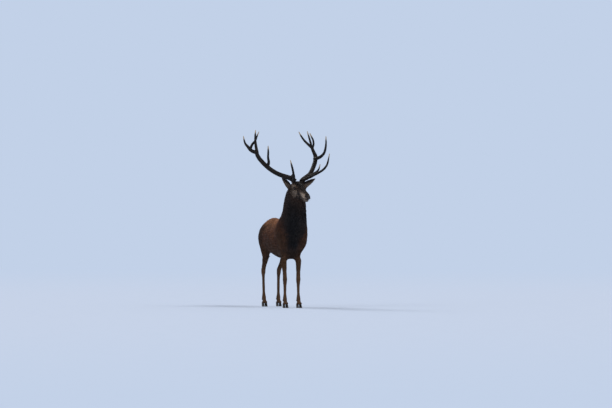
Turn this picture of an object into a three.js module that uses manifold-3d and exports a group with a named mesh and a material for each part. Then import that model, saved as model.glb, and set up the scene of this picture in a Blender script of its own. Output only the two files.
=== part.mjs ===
// Red deer stag standing alert: a still, life-size model in millimetres, +Z up.
// The animal faces -Y and its left side is +X. The hooves stand on Z = 0.
// Flesh is one smooth body of limbs and muscles, out to the tips of the coat, parted into named solids.

import * as THREE from 'three';
import { mergeVertices } from 'three/addons/utils/BufferGeometryUtils.js';
import Module from 'manifold-3d';

const wasm = await Module();
wasm.setup();

const vec = (x, y, z) => new THREE.Vector3(x, y, z);
const { clamp, degToRad, lerp } = THREE.MathUtils;

// ------------------------------------------------------------------ driving sizes

const GAP = 0.3; // clearance between neighbouring solids
const HOOF_TOP = 52; // level of the coronet, where the leg meets its hooves
const UP = vec(0, 0, 1);
const LEFT = vec(1, 0, 0);

// Trunk sections from breast to buttock: place along the body, top, bottom, half-width, widest level.
const TORSO = [
  [-585, 990, 850, 44, 925],
  [-550, 1050, 775, 100, 950],
  [-470, 1150, 705, 160, 985],
  [-360, 1222, 664, 188, 1000],
  [-240, 1214, 648, 198, 950],
  [-100, 1190, 644, 210, 912],
  [60, 1167, 660, 216, 902],
  [210, 1161, 700, 209, 912],
  [330, 1178, 754, 194, 932],
  [430, 1186, 788, 190, 945],
  [515, 1160, 826, 170, 955],
  [580, 1106, 858, 134, 965],
  [618, 1066, 884, 104, 968],
];
const ROOF_POWER = 1.72; // the back falls away from the spine like a roof
const BARREL_POWER = 2.1; // the flanks and belly are rounder
const TORSO_CAP = 34; // how far the trunk's ends round out past the first and last sections
const TORSO_BLEND = 52;

// Neck joints: place, half-width across and half-depth from nape to throat, mane included.
const NECK = [
  { at: vec(4, -330, 985), across: 168, deep: 215 },
  { at: vec(8, -432, 1110), across: 166, deep: 202 },
  { at: vec(9, -486, 1250), across: 142, deep: 183 },
  { at: vec(11, -500, 1375), across: 130, deep: 164 },
  { at: vec(12, -520, 1480), across: 116, deep: 134 },
  { at: vec(17, -560, 1560), across: 96, deep: 106 },
];
const NECK_CUT = { at: vec(0, -465, 1105), normal: vec(0, -0.5, 0.866).normalize() };

// Foreleg joints, left side: place and half-widths across and along the body.
const FORELEG = [
  { at: vec(114, -462, 870), across: 42, deep: 84 },
  { at: vec(104, -374, 722), across: 44, deep: 76 },
  { at: vec(100, -362, 640), across: 37, deep: 57 },
  { at: vec(94, -372, 530), across: 29, deep: 40 },
  { at: vec(89, -380, 425), across: 26, deep: 29 },
  { at: vec(88, -384, 378), across: 29, deep: 32 },
  { at: vec(87, -381, 338), across: 25, deep: 27 },
  { at: vec(86, -380, 240), across: 18, deep: 22 },
  { at: vec(86, -382, 155), across: 20, deep: 24 },
  { at: vec(86, -385, 122), across: 26, deep: 30 },
  { at: vec(86, -399, 88), across: 22, deep: 25 },
  { at: vec(86, -413, 52), across: 31, deep: 33 },
];
const FORELEG_LEVELS = [
  648, 610, 565, 520, 470, 430, 402, 378, 355, 332, 300, 250, 200, 162, 140, 120, 102, 84, 68,
  HOOF_TOP + GAP,
];

// Hind leg joints, left side.
const HINDLEG = [
  { at: vec(124, 425, 930), across: 62, deep: 128 },
  { at: vec(138, 330, 780), across: 58, deep: 92 },
  { at: vec(136, 340, 700), across: 48, deep: 66 },
  { at: vec(128, 418, 622), across: 37, deep: 47 },
  { at: vec(119, 497, 550), across: 27, deep: 32 },
  { at: vec(113, 552, 494), across: 26, deep: 33 },
  { at: vec(112, 566, 446), across: 25, deep: 31 },
  { at: vec(110, 569, 390), across: 20, deep: 25 },
  { at: vec(110, 567, 260), across: 18, deep: 23 },
  { at: vec(110, 565, 160), across: 20, deep: 25 },
  { at: vec(110, 562, 124), across: 26, deep: 31 },
  { at: vec(110, 547, 90), across: 22, deep: 26 },
  { at: vec(110, 533, 52), across: 31, deep: 34 },
];
const HOCK_TENDON = [
  { at: vec(113, 572, 476), across: 19, deep: 22 },
  { at: vec(114, 592, 536), across: 17, deep: 19 },
  { at: vec(118, 530, 604), across: 14, deep: 17 },
  { at: vec(122, 452, 690), across: 24, deep: 26 },
  { at: vec(122, 440, 760), across: 30, deep: 40 },
];
const HINDLEG_LEVELS = [
  688, 664, 640, 616, 592, 570, 550, 532, 514, 496, 474, 446, 410, 350, 270, 200, 162, 142, 124, 104, 86, 69,
  HOOF_TOP + GAP,
];
const LEG_BLEND = 12;

// Each leg: side, region, and how far its foot stands ahead of (-) or behind (+) the square stance.
const LEGS = [
  { name: 'foreleg_left', side: 1, fore: true, step: -30 },
  { name: 'foreleg_right', side: -1, fore: true, step: 22 },
  { name: 'hindleg_left', side: 1, fore: false, step: 38 },
  { name: 'hindleg_right', side: -1, fore: false, step: -42 },
];
const STEP_FROM = 760; // the stance only shifts what is below this level

// Muscles that round the shoulder and haunch, left side.
const SHOULDER_BLADE = [
  { at: vec(108, -325, 1112), across: 58, deep: 66 },
  { at: vec(136, -400, 1005), across: 58, deep: 92 },
  { at: vec(114, -475, 895), across: 44, deep: 80 },
];
const THIGH = [
  { at: vec(112, 400, 985), across: 70, deep: 104 },
  { at: vec(128, 400, 890), across: 70, deep: 136 },
  { at: vec(134, 350, 770), across: 58, deep: 92 },
];
const BUTTOCK = [
  { at: vec(74, 555, 1010), across: 58, deep: 60 },
  { at: vec(100, 545, 900), across: 62, deep: 70 },
  { at: vec(116, 440, 775), across: 42, deep: 46 },
];
const BRISKET = [
  { at: vec(0, -560, 900), across: 66, deep: 60 },
  { at: vec(0, -450, 735), across: 62, deep: 58 },
  { at: vec(0, -300, 690), across: 70, deep: 46 },
];
const SHEATH = [
  { at: vec(0, 120, 672), across: 19, deep: 19 },
  { at: vec(0, 230, 702), across: 22, deep: 22 },
  { at: vec(0, 390, 775), across: 28, deep: 32 },
];
const SCROTUM = [
  { at: vec(0, 440, 782), across: 34, deep: 34 },
  { at: vec(0, 448, 738), across: 37, deep: 34 },
];
const MUSCLE_BLEND = 62;

// Tail, hanging down behind the buttocks.
const TAIL = [
  { at: vec(0, 604, 1076), across: 30, deep: 27 },
  { at: vec(0, 648, 1038), across: 33, deep: 27 },
  { at: vec(0, 668, 980), across: 33, deep: 24 },
  { at: vec(0, 671, 930), across: 24, deep: 18 },
  { at: vec(0, 668, 896), across: 11, deep: 9 },
];

// Head: its frame stands midway between the burrs. Places are out to the left, ahead and up.
const HEAD_PLACE = vec(20, -620, 1672);
const HEAD_TURN = degToRad(7.5); // to the animal's left
const CROWN_TURN = degToRad(11); // the antlers' own turn about the same place
const HEAD_CUT = { ahead: -34, up: -150, normal: [0.8, 0.6] }; // parts the head from the neck
const CRANIUM = [
  { at: [0, -62, -82], across: 66, deep: 58 },
  { at: [0, -8, -84], across: 78, deep: 60 },
  { at: [0, 48, -100], across: 78, deep: 54 },
];
const FACE = [
  { at: [0, 40, -105], across: 74, deep: 58 },
  { at: [0, 110, -133], across: 56, deep: 52 },
  { at: [0, 180, -167], across: 47, deep: 43 },
  { at: [0, 240, -194], across: 48, deep: 41 },
  { at: [0, 284, -213], across: 46, deep: 40 },
];
const JAW = [
  { at: [0, -8, -158], across: 60, deep: 50 },
  { at: [0, 70, -190], across: 46, deep: 36 },
  { at: [0, 150, -222], across: 33, deep: 25 },
  { at: [0, 236, -254], across: 33, deep: 22 },
  { at: [0, 266, -258], across: 30, deep: 19 },
];
const CHEEK = [
  { at: [50, 4, -142], across: 24, deep: 44 },
  { at: [44, 66, -160], across: 20, deep: 30 },
];
const BROW = [
  { at: [66, 20, -82], across: 19, deep: 18 },
  { at: [77, 52, -89], across: 18, deep: 17 },
];
const PEDICLE = [
  { at: [36, -18, -52], across: 30, deep: 30 },
  { at: [56, -2, -8], across: 26, deep: 26 },
];
const HEAD_BLEND = 22;
const EYE = { out: 72, ahead: 55, up: -99, radius: 17.5 };
const NOSE_PAD = { ahead: 326, up: -209, half: [48, 30, 36] };

// Antlers: out, ahead, up and radius along each beam and tine.
const BEAM_PATH = [
  [58, -2, -6, 34],
  [68, -5, 8, 31],
  [121, -28, 40, 29.5],
  [170, -63, 60, 29],
  [220, -103, 81, 28.5],
  [288, -168, 128, 28],
  [352, -230, 193, 27.5],
  [401, -279, 260, 27],
  [430, -326, 324, 26],
  [428, -356, 368, 22.5],
];
const BURR = { radius: 44, height: 0.03 };
const BEAM_SPLITS = { bez: 0.26, trez: { left: 0.86, right: 0.655 } };
const TINES = {
  left: {
    brow: [[72, 6, 12, 19], [112, 108, 46, 17], [158, 176, 84, 15.5], [218, 264, 136, 14],
      [261, 304, 201, 12], [280, 309, 267, 9], [291, 310, 353, 3]],
    bez: [[150, -52, 56, 17], [182, 26, 82, 14], [205, 114, 114, 12.5], [216, 164, 150, 9.5],
      [222, 182, 214, 3]],
    trez: [[410, -318, 291, 25], [430, -204, 313, 20], [445, -122, 359, 16.5], [450, -90, 412, 14],
      [453, -77, 470, 11], [450, -70, 525, 8], [445, -70, 583, 3]],
    beam_top: [[427, -350, 360, 21], [421, -385, 412, 20], [414, -408, 452, 17]],
    crown_rear: [[416, -400, 438, 17], [394, -450, 480, 16], [360, -500, 532, 13.5], [331, -535, 590, 10],
      [305, -551, 648, 3]],
    crown_middle: [[414, -398, 436, 14], [412, -426, 500, 13.5], [402, -440, 556, 11.5], [375, -452, 652, 3]],
    crown_front: [[418, -388, 430, 13], [421, -362, 486, 12], [404, -345, 544, 10.5], [376, -344, 589, 8],
      [358, -344, 624, 3]],
  },
  right: {
    brow: [[72, 6, 12, 19], [122, 108, 46, 17], [164, 176, 84, 15], [219, 262, 136, 13], [258, 304, 200, 10],
      [279, 308, 264, 3]],
    bez: [[118, -32, 41, 18], [116, 30, 56, 15], [132, 104, 78, 13], [154, 150, 106, 10], [167, 172, 156, 3]],
    trez: [[338, -232, 186, 24], [350, -165, 241, 17.5], [388, -112, 307, 13], [409, -66, 392, 10.5],
      [421, -50, 452, 3]],
    beam_top: [[427, -346, 352, 23], [441, -364, 374, 23], [462, -384, 390, 22]],
    crown_rear: [[424, -348, 362, 20], [416, -398, 438, 18.5], [405, -440, 517, 15], [391, -470, 596, 11],
      [376, -490, 663, 3]],
    crown_outer: [[452, -376, 377, 23], [491, -420, 408, 22], [517, -441, 450, 18], [545, -456, 486, 12.5],
      [556, -466, 530, 9], [556, -480, 584, 3]],
    crown_front: [[492, -420, 420, 18], [474, -391, 484, 15], [456, -355, 520, 13],
      [445, -321, 583, 8.5], [430, -296, 639, 3]],
  },
};
const BEAM_SIDES = 8;
const TINE_SIDES = 6;

// Ears: root, tip and the way the cup opens, in the head's frame.
const EARS = {
  left: { root: [64, -42, -95], tip: [262, -4, 36], opens: [-0.25, 0.93, -0.25], width: 46 },
  right: { root: [-85, -50, -108], tip: [-188, -150, 64], opens: [-0.6, 0.72, -0.25], width: 44 },
};
const EAR_WALL = 10;
const EAR_STATIONS = 8;

// Hooves and dewclaws.
const CLAW = { length: 84, width: 35, apart: 38, slope: 20, toeOut: 5 };
const CLAW_RINGS = [[0, 0.97], [5, 1], [24, 0.9], [42, 0.8], [HOOF_TOP, 0.68]]; // level, size
const DEWCLAW = { height: 32, radius: 11.5, level: 112, behind: 42, apart: 34, tilt: 38 };

// ------------------------------------------------------------------ flesh as a smooth field

// A field is negative inside the flesh, positive outside, and near true distance close to the hide.
const smoothUnion = (a, b, blend) => {
  const h = Math.max(blend - Math.abs(a - b), 0) / blend;
  return Math.min(a, b) - h * h * blend * 0.25;
};

const uniteFields = (fields, blend) => (p) => (
  fields.reduce((sum, field) => smoothUnion(sum, field(p), blend), 1e4)
);

// Tapering flesh along a chain of joints; half-widths run across (along `side`) and in the chain's own plane.
function limbField(joints, side, blend) {
  const offset = vec(0, 0, 0);
  return (p) => {
    let value = 1e4;
    for (let i = 0; i + 1 < joints.length; i += 1) {
      const a = joints[i];
      const b = joints[i + 1];
      const span = offset.copy(b.at).sub(a.at).lengthSq();
      const reach = offset.dot(p) - offset.dot(a.at);
      const t = clamp(reach / span, 0, 1);
      offset.copy(a.at).lerp(b.at, t).sub(p);
      const across = lerp(a.across, b.across, t);
      const deep = lerp(a.deep, b.deep, t);
      const s = offset.dot(side);
      const rest = Math.sqrt(Math.max(offset.lengthSq() - s * s, 0));
      const ratio = Math.hypot(s / across, rest / deep);
      const steep = Math.hypot(s / across ** 2, rest / deep ** 2);
      const distance = steep > 0 ? (ratio * (ratio - 1)) / steep : -Math.min(across, deep);
      value = smoothUnion(value, distance, blend);
    }
    return value;
  };
}

// Smooth curve through the rows of a table, read at a place given in its first column.
function readTable(rows, at) {
  const last = rows.length - 1;
  const place = clamp(at, rows[0][0], rows[last][0]);
  let i = 0;
  while (i < last - 1 && place > rows[i + 1][0]) i += 1;
  const span = rows[i + 1][0] - rows[i][0];
  const t = (place - rows[i][0]) / span;
  const before = rows[Math.max(i - 1, 0)];
  const after = rows[Math.min(i + 2, last)];
  return rows[i].map((from, column) => {
    const to = rows[i + 1][column];
    const slopeIn = ((to - before[column]) / (rows[i + 1][0] - before[0])) * span;
    const slopeOut = ((after[column] - from) / (after[0] - rows[i][0])) * span;
    const c = 3 * (to - from) - 2 * slopeIn - slopeOut;
    const d = 2 * (from - to) + slopeIn + slopeOut;
    return from + t * (slopeIn + t * (c + t * d));
  });
}

function torsoField(p) {
  const [, top, bottom, halfWidth, level] = readTable(TORSO, p.y);
  const above = p.z > level;
  const power = above ? ROOF_POWER : BARREL_POWER;
  const halfHeight = above ? top - level : level - bottom;
  const [sideways, upward] = [Math.abs(p.x / halfWidth), Math.abs((p.z - level) / halfHeight)];
  const ratio = (sideways ** power + upward ** power) ** (1 / power);
  const beyond = Math.max(TORSO[0][0] - p.y, p.y - TORSO[TORSO.length - 1][0], 0);
  return (Math.hypot(ratio, beyond / TORSO_CAP) - 1) * Math.min(halfWidth, halfHeight);
}

const headTurn = new THREE.Quaternion().setFromAxisAngle(UP, HEAD_TURN);
const headLeft = LEFT.clone().applyQuaternion(headTurn);
const headVector = (out, ahead, up) => vec(out, -ahead, up).applyQuaternion(headTurn);
const atHead = (out, ahead, up) => headVector(out, ahead, up).add(HEAD_PLACE);

const crownTurn = new THREE.Quaternion().setFromAxisAngle(UP, CROWN_TURN);
const atCrown = (out, ahead, up) => vec(out, -ahead, up).applyQuaternion(crownTurn).add(HEAD_PLACE);

const mirrored = (joints, side) => joints.map((joint) => (
  { ...joint, at: joint.at.clone().setX(joint.at.x * side) }
));
const headJoints = (joints, side = 1) => joints.map(({ at: [out, ahead, up], across, deep }) => (
  { at: atHead(out * side, ahead, up), across, deep }
));

// The leg's lower joints take their share of the stance, most at the foot.
const stepped = (joints, step) => joints.map(({ at, across, deep }) => {
  const share = clamp(1 - at.z / STEP_FROM, 0, 1);
  return { at: vec(at.x, at.y + step * share, at.z), across, deep };
});

function legField({ side, fore, step }) {
  const joints = stepped(mirrored(fore ? FORELEG : HINDLEG, side), step);
  const shaft = limbField(joints, LEFT, LEG_BLEND);
  if (fore) return shaft;
  const tendon = limbField(stepped(mirrored(HOCK_TENDON, side), step), LEFT, LEG_BLEND);
  return uniteFields([shaft, tendon], LEG_BLEND * 2);
}

const legFields = LEGS.map(legField);
const neckField = limbField(NECK, LEFT, 40);
const muscleFields = [1, -1].flatMap((side) => [SHOULDER_BLADE, THIGH, BUTTOCK].map((chain) => (
  limbField(mirrored(chain, side), LEFT, 20)
)));
const midlineFields = [BRISKET, SHEATH, SCROTUM].map((chain) => limbField(chain, LEFT, 20));

const headFields = [
  limbField(headJoints(CRANIUM), headLeft, 12),
  limbField(headJoints(FACE), headLeft, 12),
  limbField(headJoints(JAW), headLeft, 12),
  ...[1, -1].flatMap((side) => [CHEEK, BROW, PEDICLE].map((chain) => (
    limbField(headJoints(chain, side), headLeft, 12)
  ))),
];
const headField = uniteFields(headFields, HEAD_BLEND);

function fleshField(p) {
  const trunk = smoothUnion(torsoField(p), uniteFields(muscleFields, 16)(p), MUSCLE_BLEND);
  const midline = smoothUnion(trunk, uniteFields(midlineFields, 16)(p), 34);
  const legs = smoothUnion(midline, uniteFields(legFields, 16)(p), 40);
  const neck = smoothUnion(legs, neckField(p), TORSO_BLEND);
  return smoothUnion(neck, headField(p), 34);
}

// ------------------------------------------------------------------ solids from rings

// One closed body through rings of points of equal count, closed to a point or centre at both ends.
function bodyFromRings(rings, first, last) {
  const count = rings[0].length;
  const points = [first, ...rings.flat(), last];
  const index = [];
  const at = (ring, k) => 1 + ring * count + (k % count);
  for (let k = 0; k < count; k += 1) {
    index.push(0, at(0, k + 1), at(0, k));
    for (let ring = 0; ring + 1 < rings.length; ring += 1) {
      index.push(at(ring, k), at(ring, k + 1), at(ring + 1, k + 1));
      index.push(at(ring, k), at(ring + 1, k + 1), at(ring + 1, k));
    }
    index.push(points.length - 1, at(rings.length - 1, k), at(rings.length - 1, k + 1));
  }
  return outwardGeometry(points, index);
}

// Turns every face about when the enclosed volume comes out negative.
function outwardGeometry(points, index) {
  let volume = 0;
  for (let i = 0; i < index.length; i += 3) {
    const [a, b, c] = [points[index[i]], points[index[i + 1]], points[index[i + 2]]];
    volume += a.dot(b.clone().cross(c));
  }
  const geometry = new THREE.BufferGeometry().setFromPoints(points);
  geometry.setIndex(volume < 0 ? index.reverse() : index);
  return geometry;
}

function toSolid(geometry) {
  const bare = geometry.clone();
  bare.deleteAttribute('normal');
  bare.deleteAttribute('uv');
  const merged = mergeVertices(bare, 1e-3);
  const vertProperties = new Float32Array(merged.attributes.position.array);
  const triVerts = new Uint32Array(merged.index.array);
  return new wasm.Manifold(new wasm.Mesh({ numProp: 3, vertProperties, triVerts }));
}

function toGeometry(solid) {
  const { vertProperties, triVerts } = solid.getMesh();
  const geometry = new THREE.BufferGeometry();
  geometry.setAttribute('position', new THREE.BufferAttribute(vertProperties, 3));
  geometry.setIndex(new THREE.BufferAttribute(triVerts, 1));
  return geometry;
}

// A cut can leave slivers on the far side of its neighbour: only the piece itself is kept.
const mainPiece = (solid) => solid.decompose().reduce((best, piece) => (
  piece.volume() > best.volume() ? piece : best
));

// A block whose top face passes through `at` and faces along `normal`.
function blockBelow(at, normal, size) {
  const block = new THREE.BoxGeometry(size, size, size);
  block.translate(0, 0, -size / 2);
  block.applyQuaternion(new THREE.Quaternion().setFromUnitVectors(UP, normal));
  block.translate(at.x, at.y, at.z);
  return toSolid(block);
}

// Walks outward from inside the flesh until the field passes the wanted clearance.
function reachHide(field, from, way, limit, clearance) {
  const stride = 10;
  const probe = vec(0, 0, 0);
  const outside = (r) => field(probe.copy(from).addScaledVector(way, r)) > clearance;
  let far = stride;
  while (far < limit && !outside(far)) far += stride;
  let near = far - stride;
  for (let i = 0; i < 14; i += 1) {
    const middle = (near + far) / 2;
    if (outside(middle)) far = middle;
    else near = middle;
  }
  return from.clone().addScaledVector(way, (near + far) / 2);
}

// A ring of hide points round a station, in the plane of `side` and `rise`, or on a cone along `axis`.
function hideRing(field, { centre, side, rise, axis = UP, tilt = 0 }, sides, limit, clearance) {
  return Array.from({ length: sides }, (_, k) => {
    const angle = ((k + 0.5) / sides) * Math.PI * 2;
    const way = side.clone().multiplyScalar(Math.cos(angle)).addScaledVector(rise, Math.sin(angle))
      .multiplyScalar(Math.cos(tilt)).addScaledVector(axis, Math.sin(tilt));
    return reachHide(field, centre, way, limit, clearance);
  });
}

// Rings that close a rounded end, from its station's plane round to just short of the axis.
const capRings = (field, station, tilts, sides, limit, clearance) => tilts.map((degrees) => (
  hideRing(field, { ...station, tilt: degToRad(degrees) }, sides, limit, clearance)
));

// ------------------------------------------------------------------ flesh nodes

const planeDistance = ({ at, normal }, p) => normal.dot(p) - normal.dot(at);
const headCut = {
  at: atHead(0, HEAD_CUT.ahead, HEAD_CUT.up),
  normal: headVector(0, ...HEAD_CUT.normal).normalize(),
};
const LEG_INNER = 46; // how near the middle a leg may come
const OVERRUN = 45; // how far a body is made past its cut before the cut trims it
const TRUNK_AXIS = 940; // level of the line that the trunk's sections are measured from

function trunkGeometry(clearance) {
  const floor = Math.min(FORELEG_LEVELS[0], HINDLEG_LEVELS[0]) - OVERRUN;
  const field = (p) => Math.max(
    fleshField(p),
    planeDistance(NECK_CUT, p) - OVERRUN,
    floor + 20 - p.z,
  );
  const sides = 26;
  const places = [-400, -350, -300, -240, -170, -90, 0, 90, 170, 240, 295, 345, 395, 440, 480];
  const straight = places.map((y) => (
    hideRing(field, { centre: vec(0, y, TRUNK_AXIS), side: LEFT, rise: UP }, sides, 500, clearance)
  ));
  const ends = [[-400, -1], [480, 1]].map(([y, way]) => (
    { centre: vec(0, y, TRUNK_AXIS), side: LEFT, rise: UP, axis: vec(0, way, 0) }
  ));
  const tilts = [14, 28, 41, 54, 67, 79];
  const [breast, rump] = ends.map((end) => capRings(field, end, tilts, sides, 500, clearance));
  const [first, last] = ends.map(({ centre, axis }) => reachHide(field, centre, axis, 400, clearance));
  const rings = [...breast.reverse(), ...straight, ...rump];
  return bodyFromRings(rings, first, last);
}

// The trunk gives way to the neck above and to a leg below each leg's top level.
function cutTrunk(solid) {
  const { at, normal } = NECK_CUT;
  const neckBlock = blockBelow(at.clone().addScaledVector(normal, -GAP / 2), normal.clone().negate(), 900);
  let body = solid.subtract(neckBlock);
  for (const { side, fore } of LEGS) {
    const [from, to] = fore ? [-560, -230] : [200, 620];
    const level = (fore ? FORELEG_LEVELS : HINDLEG_LEVELS)[0];
    const block = new THREE.BoxGeometry(400, to - from, 200);
    block.translate(side * (200 + LEG_INNER), (from + to) / 2, level + GAP / 2 - 100);
    body = body.subtract(toSolid(block));
  }
  return body;
}

// Legs are level rings from their top cut down to the coronet.
function legGeometry(leg, clearance) {
  const joints = stepped(mirrored(leg.fore ? FORELEG : HINDLEG, leg.side), leg.step);
  const field = (p) => Math.max(fleshField(p), LEG_INNER + GAP - p.x * leg.side);
  const path = joints.map(({ at }) => [at.z, at.x, at.y]).reverse();
  const levels = leg.fore ? FORELEG_LEVELS : HINDLEG_LEVELS;
  const centres = levels.map((z) => {
    const [, x, y] = readTable(path, z);
    return vec(x, y, z);
  });
  const foreAft = vec(0, 1, 0);
  const rings = centres.map((centre) => (
    hideRing(field, { centre, side: LEFT, rise: foreAft }, 10, 150, clearance)
  ));
  return bodyFromRings(rings, centres[0], centres[centres.length - 1]);
}

// Neck rings fan from the trunk's cut plane round to the head's.
function neckGeometry(clearance) {
  const stations = 9;
  const curve = new THREE.CatmullRomCurve3([
    NECK_CUT.at.clone().addScaledVector(NECK_CUT.normal, GAP / 2),
    NECK[2].at,
    NECK[3].at,
    vec(10, -530, 1455),
    headCut.at.clone().addScaledVector(headCut.normal, -GAP / 2),
  ]);
  const rings = Array.from({ length: stations }, (_, i) => {
    const share = i / (stations - 1);
    const normal = NECK_CUT.normal.clone().lerp(headCut.normal, share ** 1.3).normalize();
    const side = LEFT.clone().lerp(headLeft, share).normalize();
    const rise = normal.clone().cross(side).normalize();
    const station = { centre: curve.getPoint(share), side: rise.clone().cross(normal), rise };
    return hideRing(fleshField, station, 22, 330, clearance);
  });
  return bodyFromRings(rings, curve.getPoint(0), curve.getPoint(1));
}

function headGeometry(clearance) {
  const field = (p) => Math.max(fleshField(p), -planeDistance(headCut, p) - OVERRUN);
  const stations = [-64, -40, -16, 8, 28, 46, 66, 92, 122, 154, 188, 222, 252];
  const fall = 0.52; // how steeply the head's axis drops towards the nose
  const axis = headVector(0, 1, -fall).normalize();
  const rise = axis.clone().cross(headLeft).negate();
  const sides = 22;
  const stationAt = (ahead, way) => (
    {
      centre: atHead(0, ahead, -92 - ahead * fall),
      side: headLeft,
      rise,
      axis: axis.clone().multiplyScalar(way),
    }
  );
  const back = stationAt(stations[0], -1);
  const muzzle = stationAt(stations[stations.length - 1], 1);
  const rings = [
    ...capRings(field, back, [70, 40], sides, 220, clearance),
    ...stations.map((ahead) => hideRing(field, stationAt(ahead, 1), sides, 220, clearance)),
    ...capRings(field, muzzle, [22, 42, 58, 74], sides, 120, clearance),
  ];
  const [first, last] = [back, muzzle].map(({ centre, axis: way }) => (
    reachHide(field, centre, way, 160, clearance)
  ));
  return bodyFromRings(rings, first, last);
}

function ellipsoidSolid(centre, half, quaternion) {
  const shape = new THREE.SphereGeometry(1, 12, 8);
  shape.scale(...half);
  shape.applyQuaternion(quaternion);
  shape.translate(centre.x, centre.y, centre.z);
  return toSolid(shape);
}

function tailGeometry() {
  const field = limbField(TAIL, LEFT, 12);
  const curve = new THREE.CatmullRomCurve3(TAIL.map(({ at }) => at));
  const stations = 8;
  const rings = Array.from({ length: stations }, (_, i) => {
    const share = lerp(0.06, 0.96, i / (stations - 1));
    const rise = curve.getTangent(share).cross(LEFT).normalize();
    return hideRing(field, { centre: curve.getPoint(share), side: LEFT, rise }, 12, 90, 0);
  });
  const first = reachHide(field, curve.getPoint(0.06), curve.getTangent(0).negate(), 80, 0);
  const last = reachHide(field, curve.getPoint(0.96), curve.getTangent(1), 80, 0);
  return bodyFromRings(rings, first, last);
}

// A cupped leaf: the outer wall bulges back from the line of root and tip, and the inner wall follows it.
function earGeometry({ root, tip, opens, width }) {
  const base = atHead(...root);
  const axis = atHead(...tip).sub(base);
  const length = axis.length();
  axis.normalize();
  const facing = headVector(...opens).normalize();
  facing.addScaledVector(axis, -facing.dot(axis)).normalize();
  const across = axis.clone().cross(facing);
  const arcSteps = 5;
  const rings = Array.from({ length: EAR_STATIONS }, (_, i) => {
    const u = lerp(0, 0.96, i / (EAR_STATIONS - 1));
    const half = width * Math.sin(Math.PI * lerp(0.2, 1, u ** 0.9)) ** 0.75;
    const cup = lerp(30, 7, u);
    const wall = EAR_WALL * lerp(1, 0.85, u);
    const wrap = degToRad(lerp(104, 78, u));
    const bend = length * 0.05 * Math.sin(Math.PI * u);
    const centre = base.clone().addScaledVector(axis, length * u).addScaledVector(facing, -bend);
    const onArc = (angle, inset) => centre.clone()
      .addScaledVector(across, (half - inset) * Math.sin(angle))
      .addScaledVector(facing, -(cup - inset * 0.9) * Math.cos(angle));
    const outer = Array.from({ length: arcSteps }, (__, k) => (
      onArc(lerp(-wrap, wrap, k / (arcSteps - 1)), 0)
    ));
    const inner = Array.from({ length: arcSteps }, (__, k) => (
      onArc(lerp(wrap, -wrap, k / (arcSteps - 1)) * 0.93, Math.min(wall, half * 0.5))
    ));
    return [...outer, ...inner];
  });
  const middle = (ring) => ring.reduce((sum, p) => sum.add(p), vec(0, 0, 0)).divideScalar(ring.length);
  return bodyFromRings(rings, middle(rings[0]), base.clone().addScaledVector(axis, length));
}

// ------------------------------------------------------------------ antlers

// A round horn along joints of [out, ahead, up, radius]; `range` keeps only that share of its length.
function hornGeometry(joints, side, sides, options) {
  const { clearance = 0, range, stations, burr = false, pointed } = options;
  const flare = BURR.radius - joints[0][3];
  const curve = new THREE.CatmullRomCurve3(joints.map(([out, ahead, up]) => atCrown(out * side, ahead, up)));
  const radii = joints.map((joint, i) => [i / (joints.length - 1), joint[3]]);
  let across = curve.getTangent(range[0]).cross(headVector(0.3, 1, 0.2));
  const rings = Array.from({ length: stations }, (_, i) => {
    const share = lerp(range[0], range[1], i / (stations - 1));
    const swell = burr ? Math.max(1 - Math.abs(share - BURR.height) / 0.025, 0) * flare : 0;
    const radius = readTable(radii, share)[1] + swell + clearance;
    const centre = curve.getPoint(share);
    const tangent = curve.getTangent(share);
    across = across.clone().addScaledVector(tangent, -across.dot(tangent)).normalize();
    const other = tangent.clone().cross(across);
    return Array.from({ length: sides }, (__, k) => {
      const angle = (k / sides) * Math.PI * 2;
      return centre.clone().addScaledVector(across, Math.cos(angle) * radius)
        .addScaledVector(other, Math.sin(angle) * radius);
    });
  });
  const start = curve.getPoint(range[0]);
  const end = curve.getPoint(range[1]);
  if (pointed) end.addScaledVector(curve.getTangent(1), joints[joints.length - 1][3]);
  return bodyFromRings(rings, start, end);
}

// Every length of one antler, each cut where it grows out of the one before it.
function antlerSolids(name, side, headCutter) {
  const tines = TINES[name];
  const trezSplit = BEAM_SPLITS.trez[name];
  const seam = 0.0003;
  const lengths = [
    ['beam_lower', [0, BEAM_SPLITS.bez - seam], 11, true],
    ['beam_middle', [BEAM_SPLITS.bez + seam, trezSplit - seam], 11, false],
    ['beam_upper', [trezSplit + seam, 1 - seam], 5, false],
  ];
  const made = [];
  const cutters = [headCutter];
  const addHorn = (label, joints, sides, options, cutTo) => {
    const cut = { ...options, range: [options.range[0], cutTo], clearance: GAP };
    made.push([label, toSolid(hornGeometry(joints, side, sides, options)), [...cutters]]);
    cutters.push(toSolid(hornGeometry(joints, side, sides, cut)));
  };
  for (const [label, range, stations, burr] of lengths) {
    addHorn(label, BEAM_PATH, BEAM_SIDES, { range, stations, burr, pointed: false }, range[1] + seam);
  }
  for (const [label, joints] of Object.entries(tines)) {
    if (label === 'beam_top') {
      addHorn(label, joints, BEAM_SIDES, { range: [0, 0.996], stations: 4, pointed: false }, 1);
    } else {
      const stations = joints.length + 6;
      addHorn(label, joints, TINE_SIDES, { range: [0, 0.99], stations, pointed: true }, 0.99);
    }
  }
  return made.map(([label, solid, trims]) => (
    [`antler_${name}_${label}`, mainPiece(trims.reduce((rest, trim) => rest.subtract(trim), solid))]
  ));
}

// ------------------------------------------------------------------ hooves

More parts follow.
